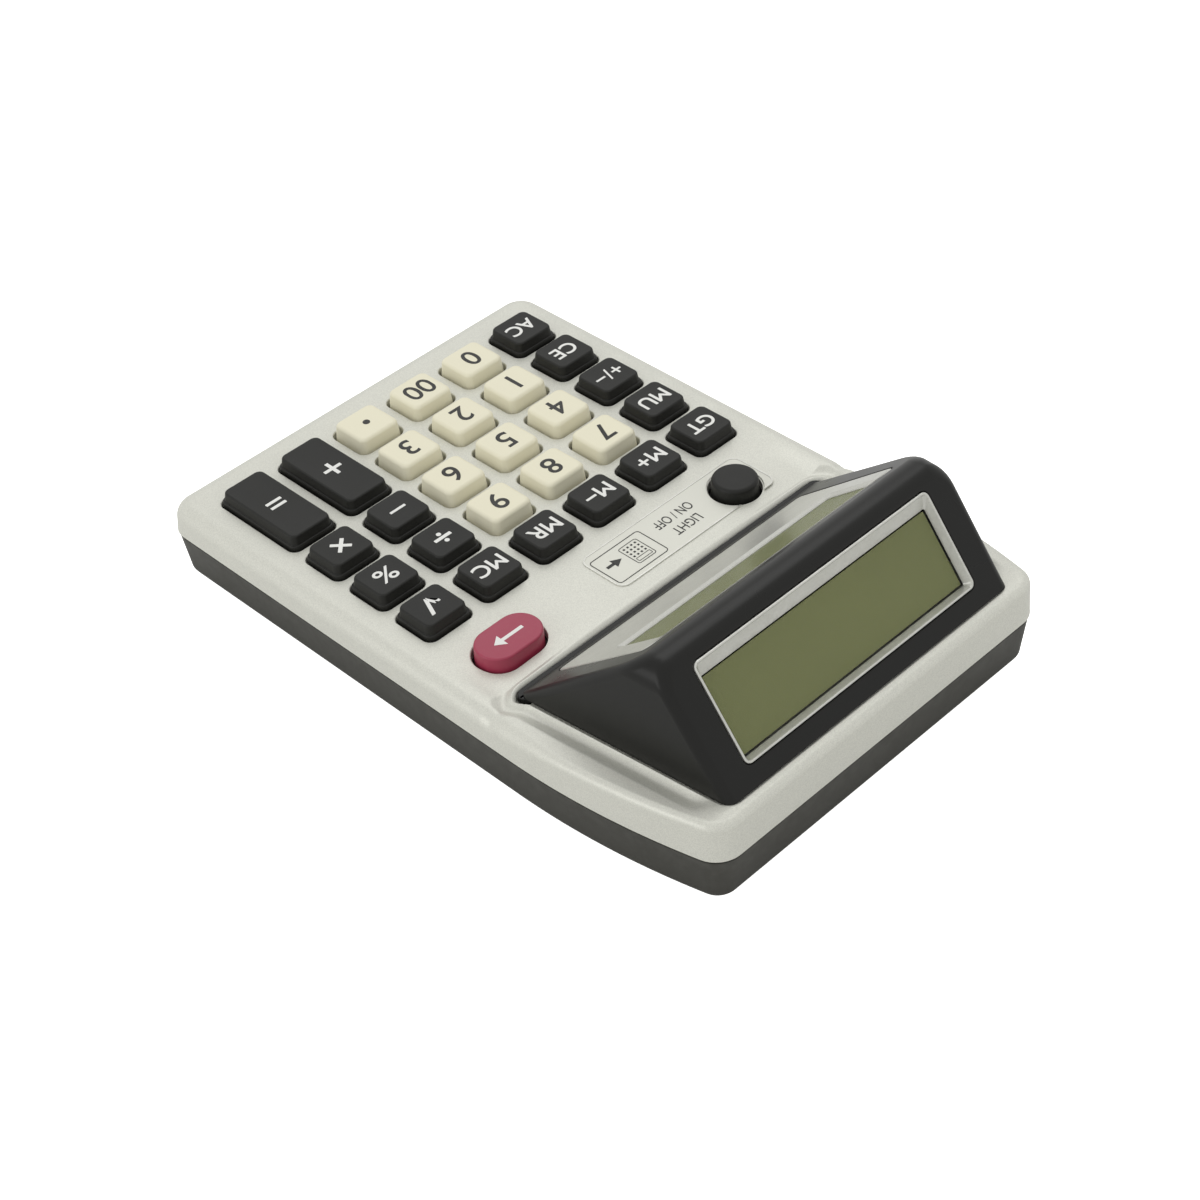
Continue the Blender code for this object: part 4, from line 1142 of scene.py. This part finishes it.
for node in screwNodes:
    at = middle(node)
    sockets.append(loftMesh("bore", [level(disc(screwRadius + 0.0008, 40, at.x, at.y), soleZ - 0.001),
                                     level(disc(screwRadius + 0.0008, 40, at.x, at.y), floorZ),
                                     level(disc(screwRadius + seatGap, 40, at.x, at.y), floorZ + 0.0005),
                                     level(disc(screwRadius + seatGap, 40, at.x, at.y), screwSeatZ)]))
sockets.append(prism(disc(lensRadius + seatGap, 48, lensAt.x, lensAt.y), soleZ - 0.001, floorZ + 0.004))
bossHolders = [prism(disc(0.0036, 40, middle(node).x, middle(node).y), floorZ + 0.0012, partingZ - 0.0020)
               for node in screwNodes]
lower = combine(lowerShellMesh(), [
    ("UNION", soleMesh()), ("UNION", joinMeshes("bosses", bossHolders)),
    ("DIFFERENCE", prism(channel, soleZ - 0.001, doorHigh.z + seatGap)),
    ("DIFFERENCE", prism(bay, soleZ - 0.002, floorZ + lowerShell["wall"] + 0.001)),
    ("DIFFERENCE", joinMeshes("sockets", sockets))])
makePiece("lower_shell", lower, paint["darkBase"], "case", ("bottom_case",), 32.0)
print("lower shell made:", len(lower.polygons))

# battery door: grip recess, ribs across it and an arrow pointing the way it slides
batteryDoor = {
    "round": 0.0003, "corner": 0.0010,
    "gripWidth": 0.0150, "gripDepth": 0.0050, "gripSink": 0.0007, "gripCorner": 0.0012,
    "ribs": 11, "ribPitch": 0.0013, "ribWidth": 0.00055, "ribHeight": 0.00045,
    "arrow": 0.0042, "arrowAhead": 0.0080, "arrowSink": 0.0004,
}
ribs, ribsIn, ribsOut = geometryTree("ribRow", [
    ("Count", "NodeSocketInt", 8), ("Pitch", "NodeSocketFloat", 0.001), ("Length", "NodeSocketFloat", 0.004),
    ("Width", "NodeSocketFloat", 0.0005), ("Height", "NodeSocketFloat", 0.0004),
    ("Centre", "NodeSocketVector", None), ("Material", "NodeSocketMaterial", None)])
stride = wire(ribs, "ShaderNodeCombineXYZ", {"X": ribsIn["Pitch"]}).outputs[0]
first = math2(ribs, "MULTIPLY", ribsIn["Pitch"], math2(ribs, "DIVIDE", math2(ribs, "SUBTRACT", 1.0,
                                                                             ribsIn["Count"]), 2.0))
first = wire(ribs, "ShaderNodeCombineXYZ", {"X": first}).outputs[0]
row = wire(ribs, "GeometryNodeMeshLine", {"Count": ribsIn["Count"], "Start Location": first,
                                          "Offset": stride}, mode="OFFSET").outputs[0]
half = math2(ribs, "MULTIPLY", ribsIn["Width"], 0.5)
bar = wire(ribs, "GeometryNodeMeshCylinder", {"Vertices": 16, "Radius": half, "Depth": ribsIn["Length"]},
           fill_type="NGON").outputs["Mesh"]
lie = wire(ribs, "GeometryNodeTransform", {"Geometry": bar, "Rotation": (math.pi / 2, 0.0, 0.0)}).outputs[0]
tallness = math2(ribs, "DIVIDE", ribsIn["Height"], half)
flat = wire(ribs, "ShaderNodeCombineXYZ", {"X": 1.0, "Y": 1.0, "Z": tallness}).outputs[0]
lie = wire(ribs, "GeometryNodeTransform", {"Geometry": lie, "Scale": flat}).outputs[0]
bars = wire(ribs, "GeometryNodeInstanceOnPoints", {"Points": row, "Instance": lie}).outputs[0]
bars = wire(ribs, "GeometryNodeTransform", {"Geometry": bars, "Translation": ribsIn["Centre"]}).outputs[0]
finishTree(ribs, bars, ribsIn["Material"], ribsOut)

soft = batteryDoor["round"]
rings = []
for inset, z in ((soft, doorLow.z), (soft * 0.3, doorLow.z + soft * 0.3), (0.0, doorLow.z + soft),
                 (0.0, doorHigh.z - soft), (soft, doorHigh.z)):
    rings.append(level(moved(roundedBox(doorHalfX - inset, -doorHalfY + inset, doorHalfY - inset,
                                        batteryDoor["corner"], 6), doorX, doorY), z))
gripY = doorY + doorHalfY * 0.60
gripOutline = moved(roundedBox(batteryDoor["gripWidth"] / 2, -batteryDoor["gripDepth"] / 2,
                               batteryDoor["gripDepth"] / 2, batteryDoor["gripCorner"], 8), doorX, gripY)
grip = prism(gripOutline, doorLow.z - 0.001, doorLow.z + batteryDoor["gripSink"])
size = batteryDoor["arrow"]
arrowY = gripY - batteryDoor["arrowAhead"]
arrowOutline = [Vector((doorX + across * size, arrowY + along * size)) for across, along in
                ((-0.5, 0.0), (-0.2, 0.0), (-0.2, -0.7), (0.2, -0.7), (0.2, 0.0), (0.5, 0.0), (0.0, 0.7))]
arrowCut = prism(arrowOutline, doorLow.z - 0.001, doorLow.z + batteryDoor["arrowSink"])
door = combine(loftMesh("battery_door", rings), [("DIFFERENCE", joinMeshes("doorCuts", [grip, arrowCut]))])
makePiece("battery_cover.plate", door, paint["darkBase"], "battery_cover",
          ("battery_door",), 30.0)
ribMesh = grow("battery_cover.ribs", pointMesh([(0, 0, 0)]), ribs, {
    "Count": batteryDoor["ribs"], "Pitch": batteryDoor["ribPitch"], "Length": batteryDoor["gripDepth"] * 0.86,
    "Width": batteryDoor["ribWidth"], "Height": batteryDoor["ribHeight"],
    "Centre": (doorX, gripY, doorLow.z + batteryDoor["gripSink"]), "Material": paint["darkBase"]})
makePiece("battery_cover.ribs", ribMesh, paint["darkBase"], "battery_cover", (), 40.0)

# screws: pan head with a crossed recess and a tapered shank, one tree for all four
screws, screwsIn, screwsOut = geometryTree("crossScrews", [
    ("Head Radius", "NodeSocketFloat", 0.0024), ("Head Height", "NodeSocketFloat", 0.0016),
    ("Shank Radius", "NodeSocketFloat", 0.0012), ("Length", "NodeSocketFloat", 0.0109),
    ("Slot Width", "NodeSocketFloat", 0.0007), ("Slot Length", "NodeSocketFloat", 0.0030),
    ("Slot Depth", "NodeSocketFloat", 0.0010), ("Material", "NodeSocketMaterial", None)])
crown = math2(screws, "MULTIPLY", screwsIn["Head Radius"], 0.82)
pan = wire(screws, "GeometryNodeMeshCone", {"Vertices": 40, "Side Segments": 3,
                                            "Radius Bottom": screwsIn["Head Radius"], "Radius Top": crown,
                                            "Depth": screwsIn["Head Height"]}).outputs["Mesh"]
down = math2(screws, "MULTIPLY", screwsIn["Head Height"], -1.0)
drop = wire(screws, "ShaderNodeCombineXYZ", {"Z": down}).outputs[0]
pan = wire(screws, "GeometryNodeTransform", {"Geometry": pan, "Rotation": (math.pi, 0.0, 0.0)}).outputs[0]
twice = math2(screws, "MULTIPLY", screwsIn["Slot Depth"], 2.0)
cutA = wire(screws, "ShaderNodeCombineXYZ", {"X": screwsIn["Slot Length"], "Y": screwsIn["Slot Width"],
                                             "Z": twice}).outputs[0]
cutB = wire(screws, "ShaderNodeCombineXYZ", {"X": screwsIn["Slot Width"], "Y": screwsIn["Slot Length"],
                                             "Z": twice}).outputs[0]
barA = wire(screws, "GeometryNodeMeshCube", {"Size": cutA}).outputs["Mesh"]
barB = wire(screws, "GeometryNodeMeshCube", {"Size": cutB}).outputs["Mesh"]
barA = wire(screws, "GeometryNodeTransform", {"Geometry": barA, "Translation": drop}).outputs[0]
barB = wire(screws, "GeometryNodeTransform", {"Geometry": barB, "Translation": drop}).outputs[0]
recessed = wire(screws, "GeometryNodeMeshBoolean", {"Mesh 1": pan, "Mesh 2": barA}, operation="DIFFERENCE")
recessed = wire(screws, "GeometryNodeMeshBoolean", {"Mesh 1": recessed.outputs[0], "Mesh 2": barB},
                operation="DIFFERENCE").outputs[0]
tip = math2(screws, "MULTIPLY", screwsIn["Shank Radius"], 0.6)
shank = wire(screws, "GeometryNodeMeshCone", {"Vertices": 24, "Side Segments": 6,
                                              "Radius Bottom": screwsIn["Shank Radius"], "Radius Top": tip,
                                              "Depth": screwsIn["Length"]}).outputs["Mesh"]
whole = wire(screws, "GeometryNodeJoinGeometry", {0: recessed})
screws.links.new(shank, whole.inputs[0])
placed = wire(screws, "GeometryNodeInstanceOnPoints", {"Points": screwsIn["Geometry"],
                                                       "Instance": whole.outputs[0]}).outputs[0]
finishTree(screws, placed, screwsIn["Material"], screwsOut)

screwLow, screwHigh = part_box(screwNodes[0])
screwFit = {"headHeight": 0.0016, "slotWidth": 0.0007, "slotLength": 0.0030, "slotDepth": 0.0010,
            "shankRadius": 0.0012}
headFaceZ = screwLow.z + screwFit["headHeight"]
screwPlaces = pointMesh([(middle(n).x, middle(n).y, headFaceZ) for n in screwNodes])
screwMesh = grow("case_screws", screwPlaces, screws, {
    "Head Radius": screwRadius, "Head Height": screwFit["headHeight"],
    "Shank Radius": screwFit["shankRadius"], "Length": screwHigh.z - headFaceZ - 0.0001,
    "Slot Width": screwFit["slotWidth"], "Slot Length": screwFit["slotLength"],
    "Slot Depth": screwFit["slotDepth"], "Material": paint["steel"]})
makePiece("case_screws", screwMesh, paint["steel"], "case", screwNodes, 30.0)


def turnedMesh(name, profile, sides, x, y):
    # solid of revolution from a profile of radius and height, bottom to top
    return loftMesh(name, [level(disc(radius, sides, x, y), z) for radius, z in profile])


# rubber feet with a rounded rim and a shallow ring, and the lens in the sole
feetShape = {"rim": 0.0004, "ringDepth": 0.0002}
feet = []
for node in footNodes:
    low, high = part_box(node)
    at, radius, rim = middle(node), footRadius, feetShape["rim"]
    feet.append(turnedMesh("foot", [(radius * 0.42, low.z + feetShape["ringDepth"]),
                                    (radius * 0.50, low.z + feetShape["ringDepth"]), (radius * 0.56, low.z),
                                    (radius - rim, low.z), (radius - rim * 0.3, low.z + rim * 0.3),
                                    (radius, low.z + rim), (radius, high.z)], 56, at.x, at.y))
makePiece("rubber_feet", joinMeshes("rubber_feet", feet), paint["rubber"], "case",
          footNodes, 30.0)
low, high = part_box("lamp_lens")
dome = [(lensRadius * share, low.z + 0.0003 * (share ** 2)) for share in (0.15, 0.35, 0.55, 0.75, 0.9)]
lens = turnedMesh("lens", dome + [(lensRadius, low.z + 0.0005), (lensRadius, high.z)], 48, lensAt.x,
                  lensAt.y)
makePiece("lamp_lens.dome", lens, paint["clearWindow"], "case", ("lamp_lens",), 35.0)
print("underside made")

# membrane with a dome under every key

domes, domesIn, domesOut = geometryTree("domeField", [
    ("Radius", "NodeSocketFloat", 0.0042), ("Top Radius", "NodeSocketFloat", 0.0022),
    ("Height", "NodeSocketFloat", 0.0016), ("Material", "NodeSocketMaterial", None)])
cup = wire(domes, "GeometryNodeMeshCone", {"Vertices": 24, "Side Segments": 3,
                                           "Radius Bottom": domesIn["Radius"],
                                           "Radius Top": domesIn["Top Radius"], "Depth": domesIn["Height"]})
cups = wire(domes, "GeometryNodeInstanceOnPoints", {"Points": domesIn["Geometry"],
                                                    "Instance": cup.outputs["Mesh"]}).outputs[0]
finishTree(domes, cups, domesIn["Material"], domesOut)
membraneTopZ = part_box("keypad_membrane")[1].z
centres = [(middle(n).x, middle(n).y, membraneTopZ - 0.00001) for n in gridKeys + ["key_backspace"]]
domeShape = {"radius": 0.0042, "topRadius": 0.0022, "height": 0.00020}
domeMesh = grow("membrane_domes", pointMesh(centres), domes, {
    "Radius": domeShape["radius"], "Top Radius": domeShape["topRadius"], "Height": domeShape["height"],
    "Material": paint["membrane"]})
makePiece("membrane_domes", domeMesh, paint["membrane"], "case", (), 40.0)

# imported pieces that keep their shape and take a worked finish
keptFinishes = {
    "keypad_membrane": "membrane", "main_board": "board", "display_board": "board",
    "battery_1": "sleeve", "battery_2": "sleeve",
    "contact_plate_1": "steel", "contact_plate_2": "steel", "contact_spring_1": "steel",
    "contact_spring_2": "steel", "uv_lamp": "violetLamp",
}
for node, finish in keptFinishes.items():
    kept = frame["nodes"][node]
    for place in kept.material_slots:
        place.material = paint[finish]
    if not kept.material_slots:
        kept.data.materials.append(paint[finish])
print("packed pieces finished:", len(keptFinishes))

# floor, light and camera

studio = {
    "floorSize": 6.0, "floorColour": (0.80, 0.80, 0.79), "floorGlow": 1.0,
    "horizon": 0.86, "zenith": 0.80,
    "lights": [
        {"name": "overhead", "place": (-0.55, -0.50, 1.20), "size": 1.0, "power": 3.0},
        {"name": "sideSoft", "place": (1.20, -0.30, 0.50), "size": 0.8, "power": 2.4},
    ],
}
floorHalf = studio["floorSize"] / 2
floorMesh = bpy.data.meshes.new("floor")
floorMesh.from_pydata([(-floorHalf, -floorHalf, 0), (floorHalf, -floorHalf, 0), (floorHalf, floorHalf, 0),
                       (-floorHalf, floorHalf, 0)], [], [(0, 1, 2, 3)])
floorMaterial = bpy.data.materials.new("floorPaper")
floorMaterial.use_nodes = True
floorTree = floorMaterial.node_tree
paper = floorTree.nodes["Principled BSDF"]
floorWhere = wire(floorTree, "ShaderNodeTexCoord").outputs["Object"]
fibre = wire(floorTree, "ShaderNodeTexNoise", {"Vector": floorWhere, "Scale": 300.0, "Detail": 4.0})
tint = wire(floorTree, "ShaderNodeMapRange", {"Value": fibre.outputs["Fac"], "To Min": 0.97,
                                              "To Max": 1.0}).outputs[0]
tint = wire(floorTree, "ShaderNodeVectorMath", {0: studio["floorColour"], 1: tint}, operation="MULTIPLY")
floorTree.links.new(tint.outputs[0], paper.inputs["Base Color"])
paper.inputs["Roughness"].default_value = 0.85
paper.inputs["Emission Color"].default_value = (1.0, 1.0, 0.99, 1.0)
seen = wire(floorTree, "ShaderNodeLightPath").outputs["Is Camera Ray"]
floorGlow = math2(floorTree, "MULTIPLY", seen, studio["floorGlow"])
floorTree.links.new(floorGlow, paper.inputs["Emission Strength"])
floorMesh.materials.append(floorMaterial)
floor = looseObject("floor", floorMesh)

scene.view_settings.view_transform = "Standard"
world = bpy.data.worlds.new("studio")
scene.world = world
world.use_nodes = True
sky = world.node_tree.nodes["Background"]
sky.inputs["Color"].default_value = (1.0, 1.0, 0.99, 1.0)
skyWhere = wire(world.node_tree, "ShaderNodeTexCoord").outputs[0]
upward = wire(world.node_tree, "ShaderNodeSeparateXYZ", {0: skyWhere})
glow = wire(world.node_tree, "ShaderNodeMapRange", {"Value": upward.outputs["Z"], "To Min": studio["horizon"],
                                                    "To Max": studio["zenith"]}).outputs[0]
world.node_tree.links.new(glow, sky.inputs["Strength"])
for lamp in studio["lights"]:
    data = bpy.data.lights.new(lamp["name"], "AREA")
    data.shape = "DISK"
    data.size = lamp["size"]
    data.energy = lamp["power"]
    light = bpy.data.objects.new(lamp["name"], data)
    light.location = lamp["place"]
    light.rotation_euler = (-Vector(lamp["place"])).to_track_quat("-Z", "Y").to_euler()
    scene.collection.objects.link(light)

view = {
    "target": (-0.00472, -0.00547, -0.00367), "distance": 0.67240,
    "heading": 47.79, "height": 41.09, "roll": -4.448, "lens": 71.788,
}
heading, height, tilt = (math.radians(view[name]) for name in ("heading", "height", "roll"))
back = Vector((math.cos(heading) * math.cos(height), math.sin(heading) * math.cos(height), math.sin(height)))
levelRight = Vector((0.0, 0.0, 1.0)).cross(back).normalized()
levelUp = back.cross(levelRight)
right = levelRight * math.cos(tilt) + levelUp * math.sin(tilt)
up = back.cross(right)
camera = bpy.data.objects.new("camera", bpy.data.cameras.new("camera"))
camera.data.lens = view["lens"]
camera.data.sensor_width = 36.0
turn = Matrix((right, up, back)).transposed().to_4x4()
camera.matrix_world = Matrix.Translation(Vector(view["target"]) + back * view["distance"]) @ turn
scene.collection.objects.link(camera)
scene.camera = camera
print("studio set")
